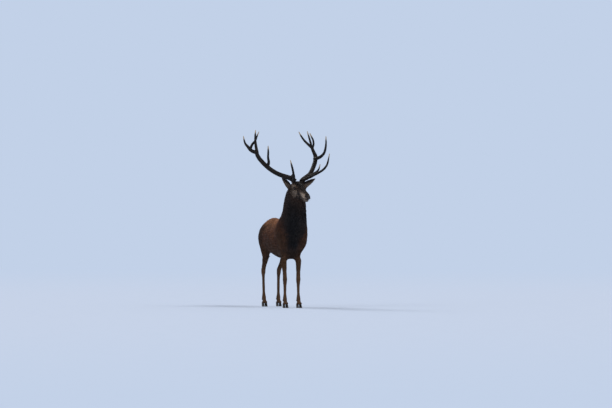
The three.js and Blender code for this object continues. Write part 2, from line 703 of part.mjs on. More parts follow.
// One claw of a cloven hoof: a pointed sole, its wall sloping back up to the coronet.
function clawGeometry(foot, sideOfFoot) {
  const count = 10;
  const rings = CLAW_RINGS.map(([z, size]) => {
    const rise = z / HOOF_TOP;
    return Array.from({ length: count }, (_, k) => {
      const angle = (k / count) * Math.PI * 2;
      const toward = Math.cos(angle);
      const flank = Math.sin(angle);
      const taper = 1 - 0.34 * toward - 0.1 * toward ** 2;
      const inner = flank * sideOfFoot < 0 ? 0.86 : 1;
      const lean = rise * CLAW.slope;
      const x = foot.x + sideOfFoot * (CLAW.apart / 2 + CLAW.toeOut * Math.max(toward, 0) * (1 - rise))
        + flank * CLAW.width * 0.5 * taper * inner * lerp(size, 1, 0.5);
      const y = foot.y - toward * CLAW.length * 0.5 * size + lean;
      return vec(x, y, z);
    });
  });
  const centre = (z) => vec(foot.x + sideOfFoot * CLAW.apart / 2, foot.y + (z / HOOF_TOP) * CLAW.slope, z);
  return bodyFromRings(rings, centre(0), centre(HOOF_TOP));
}

function dewclawGeometry(foot, sideOfFoot) {
  const { height, radius, level, behind, apart, tilt } = DEWCLAW;
  const profile = [[0, 0], [0.9, 0.05], [1, 0.4], [0.8, 0.8], [0, 1]];
  const outline = profile.map(([r, h]) => new THREE.Vector2(r * radius, h * height));
  const shape = new THREE.LatheGeometry(outline, 6);
  shape.rotateX(-Math.PI / 2);
  shape.rotateX(degToRad(tilt));
  shape.translate(foot.x + sideOfFoot * apart / 2, foot.y + behind, level);
  return shape;
}

// ------------------------------------------------------------------ assembly

const COAT = { color: 0x5a3d2a, roughness: 0.95, metalness: 0 };
const MANE = { color: 0x35241b, roughness: 0.96, metalness: 0 };
const FACE_COAT = { color: 0x5b4a3e, roughness: 0.93, metalness: 0 };
const RUMP = { color: 0x9a6a3c, roughness: 0.95, metalness: 0 };
const HORN = { color: 0x2b201a, roughness: 0.55, metalness: 0 };
const ANTLER = { color: 0x3b2c20, roughness: 0.6, metalness: 0 };
const EYE_GLOSS = { color: 0x140d08, roughness: 0.08, metalness: 0 };
const NOSE_SKIN = { color: 0x1b1716, roughness: 0.45, metalness: 0 };

const stag = new THREE.Group();

function addNode(name, geometry, finish) {
  const mesh = new THREE.Mesh(geometry, new THREE.MeshStandardMaterial(finish));
  mesh.name = name;
  stag.add(mesh);
}

const trunkCutter = toSolid(trunkGeometry(GAP));
const headCutter = toSolid(headGeometry(GAP));
const neckCutter = toSolid(neckGeometry(GAP));
const headCutFace = headCut.at.clone().addScaledVector(headCut.normal, GAP / 2);
const behindHead = blockBelow(headCutFace, headCut.normal, 700);

addNode('trunk', toGeometry(cutTrunk(toSolid(trunkGeometry(0)))), COAT);
addNode('neck', neckGeometry(0), MANE);
addNode('tail', toGeometry(mainPiece(toSolid(tailGeometry()).subtract(trunkCutter))), RUMP);

const padHalf = NOSE_PAD.half;
const padCentre = atHead(0, NOSE_PAD.ahead, NOSE_PAD.up);
const pad = ellipsoidSolid(padCentre, padHalf, headTurn);
const padRoom = ellipsoidSolid(padCentre, padHalf.map((half) => half + GAP), headTurn);
const wholeHead = toSolid(headGeometry(0)).subtract(behindHead);
const eyeBalls = [['left', 1], ['right', -1]].map(([name, side]) => {
  const centre = atHead(EYE.out * side, EYE.ahead, EYE.up);
  const ball = (radius) => ellipsoidSolid(centre, [radius, radius, radius], headTurn);
  return { name, side, ball: ball(EYE.radius), socket: ball(EYE.radius + GAP) };
});
const head = eyeBalls.reduce((rest, { socket }) => rest.subtract(socket), wholeHead.subtract(padRoom));
addNode('head', toGeometry(head), FACE_COAT);
addNode('nose', toGeometry(wholeHead.intersect(pad)), NOSE_SKIN);

for (const { name, side, ball } of eyeBalls) {
  addNode(`eye_${name}`, toGeometry(ball), EYE_GLOSS);
  const ear = toSolid(earGeometry(EARS[name])).subtract(headCutter).subtract(neckCutter);
  addNode(`ear_${name}`, toGeometry(mainPiece(ear)), FACE_COAT);
  for (const [label, solid] of antlerSolids(name, side, headCutter)) {
    addNode(label, toGeometry(solid), ANTLER);
  }
}

for (const leg of LEGS) {
  const joints = stepped(mirrored(leg.fore ? FORELEG : HINDLEG, leg.side), leg.step);
  const ankle = joints[joints.length - 1].at;
  const foot = vec(ankle.x, ankle.y - CLAW.slope * 0.5, 0);
  const legCutter = toSolid(legGeometry(leg, GAP));
  addNode(leg.name, legGeometry(leg, 0), COAT);
  for (const [place, sideOfFoot] of [['inner', -leg.side], ['outer', leg.side]]) {
    addNode(`${leg.name}_claw_${place}`, clawGeometry(foot, sideOfFoot), HORN);
    const dewclaw = mainPiece(toSolid(dewclawGeometry(foot, sideOfFoot)).subtract(legCutter));
    addNode(`${leg.name}_dewclaw_${place}`, toGeometry(dewclaw), HORN);
  }
}

// The frame's origin is on the floor under the middle of the whole animal.
const box = new THREE.Box3().setFromObject(stag);
stag.position.set(-(box.min.x + box.max.x) / 2, -(box.min.y + box.max.y) / 2, 0);
stag.updateMatrixWorld(true);

export default stag;
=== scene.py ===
"""Red deer stag, life size: hide, coat, antlers, eyes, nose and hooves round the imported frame."""
import logging
import math
from dataclasses import dataclass, field
from enum import Enum
from functools import reduce
from typing import Callable, Iterable, Sequence

import bpy
import numpy as np
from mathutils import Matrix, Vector
from mathutils.bvhtree import BVHTree


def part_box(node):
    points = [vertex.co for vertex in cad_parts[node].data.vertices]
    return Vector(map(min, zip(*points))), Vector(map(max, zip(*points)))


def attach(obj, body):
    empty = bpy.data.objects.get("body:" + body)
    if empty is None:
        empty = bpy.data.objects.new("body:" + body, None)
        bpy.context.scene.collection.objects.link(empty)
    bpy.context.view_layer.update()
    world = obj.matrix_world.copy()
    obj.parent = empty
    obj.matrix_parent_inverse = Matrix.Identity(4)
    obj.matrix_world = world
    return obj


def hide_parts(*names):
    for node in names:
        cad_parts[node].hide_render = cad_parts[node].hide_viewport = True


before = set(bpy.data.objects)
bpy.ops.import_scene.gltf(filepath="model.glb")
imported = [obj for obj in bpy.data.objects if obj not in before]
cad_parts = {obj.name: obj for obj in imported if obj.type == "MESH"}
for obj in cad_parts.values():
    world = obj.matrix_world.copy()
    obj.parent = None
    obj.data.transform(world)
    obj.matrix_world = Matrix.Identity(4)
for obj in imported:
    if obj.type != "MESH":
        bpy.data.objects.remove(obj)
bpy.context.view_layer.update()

LOG = logging.getLogger("stag")
BODY = "root"
DOUBLES = 1e-5
UP = np.array([0.0, 0.0, 1.0])


# ---------------------------------------------------------------- small tools

class Side(Enum):
    """The animal's own left and right."""

    LEFT = 1
    RIGHT = -1

    @property
    def label(self) -> str:
        """The side's name as the frame spells it."""
        return self.name.lower()


class Part(Enum):
    """The flesh nodes that the hide covers."""

    TRUNK = ("trunk",)
    NECK = ("neck",)
    HEAD = ("head", "nose")
    EAR = ("ear_left", "ear_right")
    TAIL = ("tail",)
    LEG = ("foreleg_left", "foreleg_right", "hindleg_left", "hindleg_right")


def smoothstep(low: float, high: float, value: np.ndarray) -> np.ndarray:
    """Eases from 0 to 1.

    Args:
        low: Where the rise starts.
        high: Where the rise ends, which may be below low for a fall.
        value: The values to ease.

    Returns:
        A number from 0 to 1 for each value.
    """
    share = np.clip((value - low) / (high - low), 0, 1)
    return share * share * (3 - 2 * share)


def unit(vectors: np.ndarray) -> np.ndarray:
    """Vectors scaled to length 1 along the last axis."""
    return vectors / np.maximum(np.linalg.norm(vectors, axis=-1, keepdims=True), 1e-9)


def cell_random(cells: np.ndarray, seed: int) -> np.ndarray:
    """One repeatable number from 0 to 1 for each whole-numbered cell.

    Args:
        cells: Rows of three whole numbers.
        seed: Which set of numbers to give.

    Returns:
        A number for each row.
    """
    x, y, z = (cells[:, i].astype(np.int64) for i in range(3))
    code = (x * 374761393 + y * 668265263 + z * 1440662683 + seed * 974634777) & 0xFFFFFFFF
    code = ((code ^ (code >> 13)) * 1274126177) & 0xFFFFFFFF
    code = ((code ^ (code >> 15)) * 2246822519) & 0xFFFFFFFF
    return ((code ^ (code >> 16)) & 0xFFFFFF) / 0xFFFFFF


def lumps(points: np.ndarray, size: float, seed: int) -> np.ndarray:
    """Soft three-dimensional unevenness.

    Args:
        points: Where it is wanted, in metres.
        size: The size of a lump in metres.
        seed: Which pattern to give.

    Returns:
        A number from -1 to 1 for each point.
    """
    grid = points / size
    base = np.floor(grid).astype(np.int64)
    ease = grid - base
    ease = ease * ease * (3 - 2 * ease)
    total = np.zeros(len(points))
    for corner in np.ndindex(2, 2, 2):
        weight = np.prod(np.where(corner, ease, 1 - ease), axis=1)
        total += weight * cell_random(base + corner, seed)
    return total * 2 - 1


def band(points: np.ndarray, start: Sequence[float], end: Sequence[float], reach: float) -> np.ndarray:
    """Closeness to a straight line between two places.

    Args:
        points: The places to judge.
        start: One end of the line.
        end: Its other end.
        reach: The distance at which closeness has fallen to about a third.

    Returns:
        A number from 0, far away, to 1, on the line.
    """
    first, run = np.array(start), np.array(end) - np.array(start)
    share = np.clip(((points - first) @ run) / max(float(run @ run), 1e-12), 0, 1)
    gap = points - first - share[:, None] * run
    return np.exp(-np.sum(gap * gap, axis=1) / reach**2)


@dataclass(frozen=True)
class Streak:
    """A soft-edged straight streak: a swelling or groove under the hide, or a marking on it."""

    start: tuple[float, float, float]
    end: tuple[float, float, float]
    reach: float
    amount: float


def streaks(points: np.ndarray, table: Iterable[Streak]) -> np.ndarray:
    """The sum of several streaks at each of some places."""
    return sum(streak.amount * band(points, streak.start, streak.end, streak.reach) for streak in table)


def fold(points: np.ndarray) -> np.ndarray:
    """Makes both sides of the animal alike.

    Args:
        points: Places with out to one side as their first coordinate.

    Returns:
        A copy with the first coordinate made positive.
    """
    folded = points.copy()
    folded[:, 0] = np.abs(folded[:, 0])
    return folded


def linear(red: int, green: int, blue: int) -> tuple[float, float, float, float]:
    """A display colour of 0 to 255 as the scene's linear colour."""
    def lift(value: float) -> float:
        """One channel."""
        share = value / 255
        return share / 12.92 if share <= 0.04045 else ((share + 0.055) / 1.055) ** 2.4

    return (lift(red), lift(green), lift(blue), 1.0)


def only(piece: bpy.types.Object) -> None:
    """Selects one piece and nothing else.

    Args:
        piece: The piece.
    """
    bpy.ops.object.select_all(action="DESELECT")
    piece.select_set(True)
    bpy.context.view_layer.objects.active = piece


def edit(piece: bpy.types.Object, step: Callable[[], object]) -> None:
    """Runs a mesh operator on all of a piece.

    Args:
        piece: The piece, which is left selected alone unless the operator changes that.
        step: The operator.
    """
    only(piece)
    bpy.ops.object.mode_set(mode="EDIT")
    bpy.ops.mesh.select_all(action="SELECT")
    step()
    bpy.ops.object.mode_set(mode="OBJECT")


def centre_of(node: str) -> np.ndarray:
    """The middle of a node's box."""
    low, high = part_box(node)
    return (np.array(low) + np.array(high)) / 2


def copy_nodes(name: str, nodes: Iterable[str]) -> bpy.types.Object:
    """Copies CAD nodes into one new object with its doubles merged.

    Args:
        name: The new object's name.
        nodes: The nodes to copy.

    Returns:
        The new object, selected alone.
    """
    bpy.ops.object.select_all(action="DESELECT")
    copies = []
    for node in nodes:
        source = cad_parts[node]
        copy = bpy.data.objects.new(name, source.data.copy())
        copy.matrix_world = source.matrix_world
        bpy.context.collection.objects.link(copy)
        copy.select_set(True)
        copies.append(copy)
    bpy.context.view_layer.objects.active = copies[0]
    if len(copies) > 1:
        bpy.ops.object.join()
    piece = bpy.context.view_layer.objects.active
    piece.name = name
    only(piece)
    bpy.ops.object.transform_apply(location=True, rotation=True, scale=True)
    piece.data.materials.clear()
    edit(piece, lambda: bpy.ops.mesh.remove_doubles(threshold=DOUBLES))
    return piece


def even_copy(name: str, nodes: Sequence[str], voxel: float) -> bpy.types.Object:
    """Copies CAD nodes into one even closed surface, without inner pockets.

    Args:
        name: The new object's name.
        nodes: The nodes, of closed bodies that touch or nearly touch.
        voxel: The mesh size in metres.

    Returns:
        The new object, selected alone.
    """
    piece = copy_nodes(name, nodes)
    modifier = piece.modifiers.new("even", "REMESH")
    modifier.mode = "VOXEL"
    modifier.voxel_size = voxel
    bpy.ops.object.modifier_apply(modifier=modifier.name)
    edit(piece, lambda: bpy.ops.mesh.separate(type="LOOSE"))
    found = sorted(bpy.context.selected_objects, key=lambda item: -len(item.data.vertices))
    for spare in found[1:]:
        bpy.data.objects.remove(spare, do_unlink=True)
    found[0].name = name
    only(found[0])
    return found[0]


def active() -> bpy.types.Object:
    """The active object."""
    return bpy.context.view_layer.objects.active


def hand_over(piece: bpy.types.Object, material: bpy.types.Material, nodes: Sequence[str] = (),
              smooth: bool = True) -> None:
    """Gives a finished piece its material and ties it to the frame.

    Args:
        piece: The finished piece.
        material: Its material.
        nodes: The CAD nodes that it stands for.
        smooth: Whether it is shaded smoothly.
    """
    if smooth:
        piece.data.polygons.foreach_set("use_smooth", [True] * len(piece.data.polygons))
        piece.data.update()
    piece.data.materials.append(material)
    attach(piece, BODY)
    if nodes:
        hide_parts(*nodes)
    LOG.info("%s: %d faces", piece.name, len(piece.data.polygons))


class Surface:
    """A mesh's points and neighbours as arrays, for shaping them in bulk."""

    def __init__(self, piece: bpy.types.Object) -> None:
        """Reads a piece.

        Args:
            piece: The piece to shape.
        """
        self.piece = piece
        mesh = piece.data
        flat = np.empty(len(mesh.vertices) * 3, np.float32)
        mesh.vertices.foreach_get("co", flat)
        self.points = flat.reshape(-1, 3).astype(float)
        ends = np.empty(len(mesh.edges) * 2, np.int32)
        mesh.edges.foreach_get("vertices", ends)
        ends = ends.reshape(-1, 2)
        both = np.concatenate([ends, ends[:, ::-1]])
        both = both[np.argsort(both[:, 0], kind="stable")]
        self.near = both[:, 1]
        self.counts = np.bincount(both[:, 0], minlength=len(self.points))
        self.starts = np.concatenate([[0], np.cumsum(self.counts)[:-1]])
        mesh.calc_loop_triangles()
        corners = np.empty(len(mesh.loop_triangles) * 3, np.int32)
        mesh.loop_triangles.foreach_get("vertices", corners)
        self.triangles = corners.reshape(-1, 3)

    def normals(self) -> np.ndarray:
        """The outward direction at each point."""
        a, b, c = (self.points[self.triangles[:, i]] for i in range(3))
        facing = np.cross(b - a, c - a)
        total = np.stack([
            sum(np.bincount(self.triangles[:, i], facing[:, axis], len(self.points)) for i in range(3))
            for axis in range(3)
        ], axis=1)
        return unit(total)

    def around(self, values: np.ndarray) -> np.ndarray:
        """The mean of each point's neighbours."""
        total = np.add.reduceat(values[self.near], self.starts, axis=0)
        return total / self.counts.reshape(-1, *([1] * (values.ndim - 1)))

    def soften(self, values: np.ndarray, rounds: int, strength: np.ndarray | float = 0.6) -> np.ndarray:
        """Spreads values over the surface.

        Args:
            values: A number or a row for each point.
            rounds: How many times.
            strength: How far each point goes to its neighbours' mean each time.

        Returns:
            The softened values.
        """
        if isinstance(strength, np.ndarray) and values.ndim > 1:
            strength = strength[:, None]
        for _ in range(rounds):
            values = values + (self.around(values) - values) * strength
        return values

    def relax(self, rounds: int, strength: np.ndarray | float) -> None:
        """Smooths the surface and gives back the girth that smoothing takes.

        Args:
            rounds: How many times.
            strength: How strongly, from 0 to 0.7, at each point.
        """
        before = self.points
        self.points = self.soften(self.points, rounds, strength)
        normals = self.normals()
        lost = np.sum((before - self.points) * normals, axis=1)
        lost = self.soften(lost, rounds, strength)
        self.points = self.points + normals * lost[:, None]

    def push(self, amount: np.ndarray) -> None:
        """Moves each point outwards by its own amount in metres."""
        self.points = self.points + self.normals() * amount[:, None]

    def write(self) -> None:
        """Puts the points back into the piece."""
        self.piece.data.vertices.foreach_set("co", self.points.astype(np.float32).ravel())
        self.piece.data.update()

    def store(self, name: str, values: np.ndarray) -> None:
        """Keeps a row of three numbers for each point under a name."""
        store_rows(self.piece.data, name, values)


def store_rows(mesh: bpy.types.Mesh, name: str, values: np.ndarray) -> None:
    """Writes a vector attribute on a mesh's points.

    Args:
        mesh: The mesh.
        name: The attribute's name.
        values: A row of three numbers for each point.
    """
    layer = mesh.attributes.new(name, "FLOAT_VECTOR", "POINT")
    layer.data.foreach_set("vector", values.astype(np.float32).ravel())


# ---------------------------------------------------------------- the head's own directions

@dataclass(frozen=True)
class HeadFrame:
    """Places in the head: out to the animal's left, ahead towards the nose, and up."""

    origin: np.ndarray
    out: np.ndarray
    ahead: np.ndarray

    @classmethod
    def from_eyes(cls, eye_ahead: float = 0.055, eye_up: float = -0.099) -> "HeadFrame":
        """Finds the head's directions from its two eyes.

        Args:
            eye_ahead: How far the eyes are ahead of the crown's middle.
            eye_up: How far they are above it, which is negative for below.

        Returns:
            The head's frame.
        """
        left, right = centre_of("eye_left"), centre_of("eye_right")
        out = unit((left - right) * np.array([1, 1, 0]))
        ahead = np.cross(out, UP) * -1
        ahead = ahead if ahead[1] < 0 else -ahead
        return cls((left + right) / 2 - ahead * eye_ahead - UP * eye_up, out, ahead)

    def local(self, points: np.ndarray) -> np.ndarray:
        """Places in the head's own directions."""
        offset = points - self.origin
        return np.stack([offset @ self.out, offset @ self.ahead, offset @ UP], axis=-1)

    def turn(self, direction: Sequence[float]) -> np.ndarray:
        """A direction given in the head's own directions."""
        return self.out * direction[0] + self.ahead * direction[1] + UP * direction[2]

    def place(self, local: Sequence[float]) -> np.ndarray:
        """A place given in the head's own directions."""
        return self.origin + self.turn(local)


HEAD = HeadFrame.from_eyes()
MOUTH_CORNER = 0.212
MOUTH_LINE = ((0.200, -0.219), (0.240, -0.232), (0.285, -0.244), (0.340, -0.252))
MID_X = float(centre_of("trunk")[0])


def above_mouth(local: np.ndarray) -> np.ndarray:
    """How far places of the head lie above the line where the lips meet.

    Args:
        local: Places in the head's own directions.

    Returns:
        Metres above the line, with places behind its corner counted as far off.
    """
    ahead, level = zip(*MOUTH_LINE)
    return local[:, 2] - np.interp(local[:, 1], ahead, level) + 0.2 * (local[:, 1] < MOUTH_CORNER)


@dataclass(frozen=True)
class EyeShape:
    """One eye's ball, its opening and the way it looks."""

    side: Side
    radius: float = 0.0174
    half_length: float = 0.0152
    upper: float = 0.0096
    lower: float = 0.0074
    lid: float = 0.0021

    @property
    def centre(self) -> np.ndarray:
        """The ball's middle."""
        return centre_of(f"eye_{self.side.label}")

    def beyond(self, x: np.ndarray, y: np.ndarray) -> np.ndarray:
        """How far places lie outside the opening between the lids.

        Args:
            x: Places along the opening, towards the nose.
            y: Places up it.

        Returns:
            Metres outside the opening, negative inside it.
        """
        share = np.clip(1 - (x / self.half_length) ** 2, 0, 1)
        level = y + 0.0022 * x / self.half_length
        height = np.where(level > 0, self.upper * share**0.8, self.lower * share**0.95)
        past = np.maximum(np.abs(x) - self.half_length, 0)
        return np.hypot(np.maximum(np.abs(level) - height, 0), past) - np.maximum(height - np.abs(level), 0)

    @property
    def axes(self) -> tuple[np.ndarray, np.ndarray, np.ndarray]:
        """Directions along the opening towards the nose, up the opening, and out of the eye."""
        gaze = unit(HEAD.turn((0.86 * self.side.value, 0.46, 0.16)))
        along = HEAD.turn((0, 0.92, -0.36))
        along = unit(along - gaze * (along @ gaze))
        rise = np.cross(gaze, along)
        return along, rise if rise[2] > 0 else -rise, gaze

    def view(self, points: np.ndarray) -> tuple[np.ndarray, np.ndarray, np.ndarray]:
        """Places as distances along the opening, up it and out of the eye, from the ball's middle."""
        offset = points - self.centre
        return tuple(offset @ axis for axis in self.axes)


@dataclass(frozen=True)
class EarShape:
    """One ear's line from root to tip and the way its cup opens."""

    side: Side
    half_width: float = 0.044

    @property
    def ends(self) -> tuple[np.ndarray, np.ndarray]:
        """The root and the tip."""
        points = Surface(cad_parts[f"ear_{self.side.label}"]).points
        reach = np.linalg.norm(points - HEAD.place((0, 0, -0.09)), axis=1)
        return points[np.argmin(reach)], points[np.argmax(reach)]

    def hollow(self, points: np.ndarray, normals: np.ndarray) -> tuple[np.ndarray, np.ndarray]:
        """Where the ear is hollow, for the painted shade in its cup, and where its inner edges are.

        Args:
            points: Places on the ear.
            normals: The outward directions there.

        Returns:
            Closeness to the cup's bottom, and to its inner edges, from 0 to 1.
        """
        root, tip = self.ends
        axis = unit(tip - root)
        opens = HEAD.turn((-0.25, 0.93, -0.25) if self.side is Side.LEFT else (-0.6, 0.72, -0.25))
        opens = unit(opens - axis * (opens @ axis))
        across = np.cross(axis, opens)
        offset = points - root
        share = offset @ axis / np.linalg.norm(tip - root)
        wide = self.half_width * np.sin(np.pi * np.clip(0.2 + 0.8 * share, 0.05, 0.97)) ** 0.75
        aside = np.abs((offset @ across) / wide)
        inner = smoothstep(0.0, 0.45, normals @ opens)
        return (inner * smoothstep(0.80, 0.35, aside) * smoothstep(0.92, 0.55, share),
                inner * smoothstep(0.40, 0.80, aside))


@dataclass(frozen=True)
class Nostril:
    """One comma-shaped nostril at the edge of the nose pad."""

    side: Side
    long: float = 0.0120
    short: float = 0.0052
    depth: float = 0.0150

    def closeness(self, local: np.ndarray) -> np.ndarray:
        """How many nostril radii each place is from the nostril's middle.

        Args:
            local: Places in the head's own directions.

        Returns:
            Below 1 inside the nostril, above 1 outside.
        """
        offset = local - np.array([0.0310 * self.side.value, 0.336, -0.199])
        length = unit(np.array([0.80 * self.side.value, -0.52, -0.28]))
        way = self.inward
        length = unit(length - way * (length @ way))
        other = np.cross(way, length) * self.side.value
        x, y = offset @ length, offset @ other
        curl = y + 26 * x**2 * np.sign(x)
        return np.sqrt((x / self.long) ** 2 + (curl / self.short) ** 2 + (offset @ way / 0.03) ** 4)

    @property
    def inward(self) -> np.ndarray:
        """The way into the nostril, in the head's own directions."""
        return unit(np.array([-0.52 * self.side.value, -0.80, -0.10]))


# ---------------------------------------------------------------- materials

class Bench:
    """A node tree with short ways to add and join its nodes."""

    def __init__(self, tree: bpy.types.NodeTree) -> None:
        """Starts on a tree.

        Args:
            tree: The material's or group's node tree.
        """
        self.tree = tree

    def add(self, kind: str, **settings: object) -> bpy.types.Node:
        """Adds a node.

        Args:
            kind: Its type.
            settings: Its own options by name.

        Returns:
            The node.
        """
        node = self.tree.nodes.new(kind)
        for name, value in settings.items():
            setattr(node, name, value)
        return node

    def feed(self, socket: bpy.types.NodeSocket, value: object) -> None:
        """Joins a socket to another, or sets it to a plain value."""
        if isinstance(value, bpy.types.NodeSocket):
            self.tree.links.new(value, socket)
        else:
            socket.default_value = value

    def rows(self, name: str) -> bpy.types.NodeSocket:
        """A vector attribute of the piece."""
        return self.add("ShaderNodeAttribute", attribute_name=name).outputs["Vector"]

    def split(self, vector: object) -> tuple[bpy.types.NodeSocket, ...]:
        """Splits a vector.

        Args:
            vector: The vector.

        Returns:
            Its three numbers.
        """
        node = self.add("ShaderNodeSeparateXYZ")
        self.feed(node.inputs[0], vector)
        return tuple(node.outputs)

    def sum(self, operation: str, *values: object, clamp: bool = False) -> bpy.types.NodeSocket:
        """Calculates with one Math node.

        Args:
            operation: What it does.
            values: What it is fed with.
            clamp: Whether the result stays from 0 to 1.

        Returns:
            The result.
        """
        node = self.add("ShaderNodeMath", operation=operation, use_clamp=clamp)
        for socket, value in zip(node.inputs, values):
            self.feed(socket, value)
        return node.outputs[0]

    def total(self, *terms: tuple[object, float]) -> bpy.types.NodeSocket:
        """Adds up values, each times its own weight."""
        scaled = [self.sum("MULTIPLY", value, weight) for value, weight in terms]
        return reduce(lambda first, second: self.sum("ADD", first, second), scaled)

    def spread(self, value: object, low: float, high: float,
               to: tuple[float, float] = (0, 1)) -> bpy.types.NodeSocket:
        """Maps a range of numbers to another, clamped and eased.

        Args:
            value: The number to map.
            low: Where the range starts.
            high: Where the range ends.
            to: The first and last number given out.

        Returns:
            The mapped number.
        """
        node = self.add("ShaderNodeMapRange", interpolation_type="SMOOTHSTEP")
        for index, item in enumerate((value, low, high, *to)):
            self.feed(node.inputs[index], item)
        return node.outputs[0]

    def mix(self, factor: object, first: object, second: object, blend: str = "MIX") -> bpy.types.NodeSocket:
        """Mixes two colours.

        Args:
            factor: How much of the second there is.
            first: The first colour.
            second: The second colour.
            blend: How they are mixed.

        Returns:
            The mixed colour.
        """
        node = self.add("ShaderNodeMix", data_type="RGBA", blend_type=blend)
        self.feed(node.inputs["Factor"], factor)
        self.feed(node.inputs[6], first)
        self.feed(node.inputs[7], second)
        return node.outputs[2]

    def noise(self, vector: object, scale: float, detail: float = 3,
              rough: float = 0.55) -> bpy.types.NodeSocket:
        """Makes a noise pattern.

        Args:
            vector: Where it is looked up.
            scale: How fine it is.
            detail: How many finer layers it has.
            rough: How strong those are.

        Returns:
            A number from 0 to 1.
        """
        node = self.add("ShaderNodeTexNoise")
        self.feed(node.inputs["Vector"], vector)
        node.inputs["Scale"].default_value = scale
        node.inputs["Detail"].default_value = detail
        node.inputs["Roughness"].default_value = rough
        return node.outputs["Fac"]

    def stretch(self, vector: object, scale: tuple[float, float, float]) -> bpy.types.NodeSocket:
        """Scales a vector.

        Args:
            vector: The vector.
            scale: The factor on each axis.

        Returns:
            The scaled vector.
        """
        node = self.add("ShaderNodeMapping")
        self.feed(node.inputs["Vector"], vector)
        node.inputs["Scale"].default_value = scale
        return node.outputs[0]

    def object_place(self) -> bpy.types.NodeSocket:
        """The piece's own coordinates."""
        return self.add("ShaderNodeTexCoord").outputs["Object"]

    def bump(self, height: object, strength: float, distance: float) -> bpy.types.NodeSocket:
        """Makes a bumped normal.

        Args:
            height: The height pattern.
            strength: How strongly it shows.
            distance: Its depth in metres.

        Returns:
            The normal.
        """
        node = self.add("ShaderNodeBump")
        self.feed(node.inputs["Height"], height)
        node.inputs["Strength"].default_value = strength
        node.inputs["Distance"].default_value = distance
        return node.outputs[0]


def start_material(name: str) -> tuple[bpy.types.Material, Bench, bpy.types.Node]:
    """Makes a material with a plain shader.

    Args:
        name: The material's name.

    Returns:
        The material, a bench on its tree, and its shader.
    """
    material = bpy.data.materials.new(name)
    material.use_nodes = True
    return material, Bench(material.node_tree), material.node_tree.nodes["Principled BSDF"]


class Group:
    """A shader node group with named inputs and outputs."""

    def __init__(self, name: str, inputs: dict[str, str], outputs: dict[str, str]) -> None:
        """Starts a group.

        Args:
            name: The group's name.
            inputs: Each input's name and socket kind.
            outputs: Each output's name and socket kind.
        """
        self.tree = bpy.data.node_groups.new(name, "ShaderNodeTree")
        for label, kind in inputs.items():
            self.tree.interface.new_socket(label, in_out="INPUT", socket_type=kind)
        for label, kind in outputs.items():
            self.tree.interface.new_socket(label, in_out="OUTPUT", socket_type=kind)
        self.bench = Bench(self.tree)
        self.inside = self.bench.add("NodeGroupInput").outputs
        self.result = self.bench.add("NodeGroupOutput").inputs

    def put(self, bench: Bench, values: dict[str, object]) -> bpy.types.NodeOutputs:
        """Places the group in a material.

        Args:
            bench: The material's bench.
            values: What each input is fed with.

        Returns:
            The placed group's outputs.
        """
        node = bench.add("ShaderNodeGroup", node_tree=self.tree)
        for label, value in values.items():
            bench.feed(node.inputs[label], value)
        return node.outputs


@dataclass(frozen=True)
class CoatColours:
    """The stag's colours by region, as display colours; back and belly also stand in for painted light and
    shade.
    """

    flank: tuple[int, int, int] = (80, 47, 32)
    # back: lighter brown on the back's top, partly the hair's own colour and partly painted highlight where
    # light falls from above
    back: tuple[int, int, int] = (126, 82, 52)
    # belly: darker brown, used as painted shade on the underside, lower flank, haunch and flank groove, and
    # mixed into the shoulder
    belly: tuple[int, int, int] = (54, 39, 31)
    mane: tuple[int, int, int] = (47, 41, 40)
    bib: tuple[int, int, int] = (25, 24, 26)
    leg: tuple[int, int, int] = (86, 62, 44)
    rump: tuple[int, int, int] = (184, 148, 104)
    face: tuple[int, int, int] = (72, 58, 50)
    pale: tuple[int, int, int] = (170, 152, 136)
    dark: tuple[int, int, int] = (32, 27, 26)


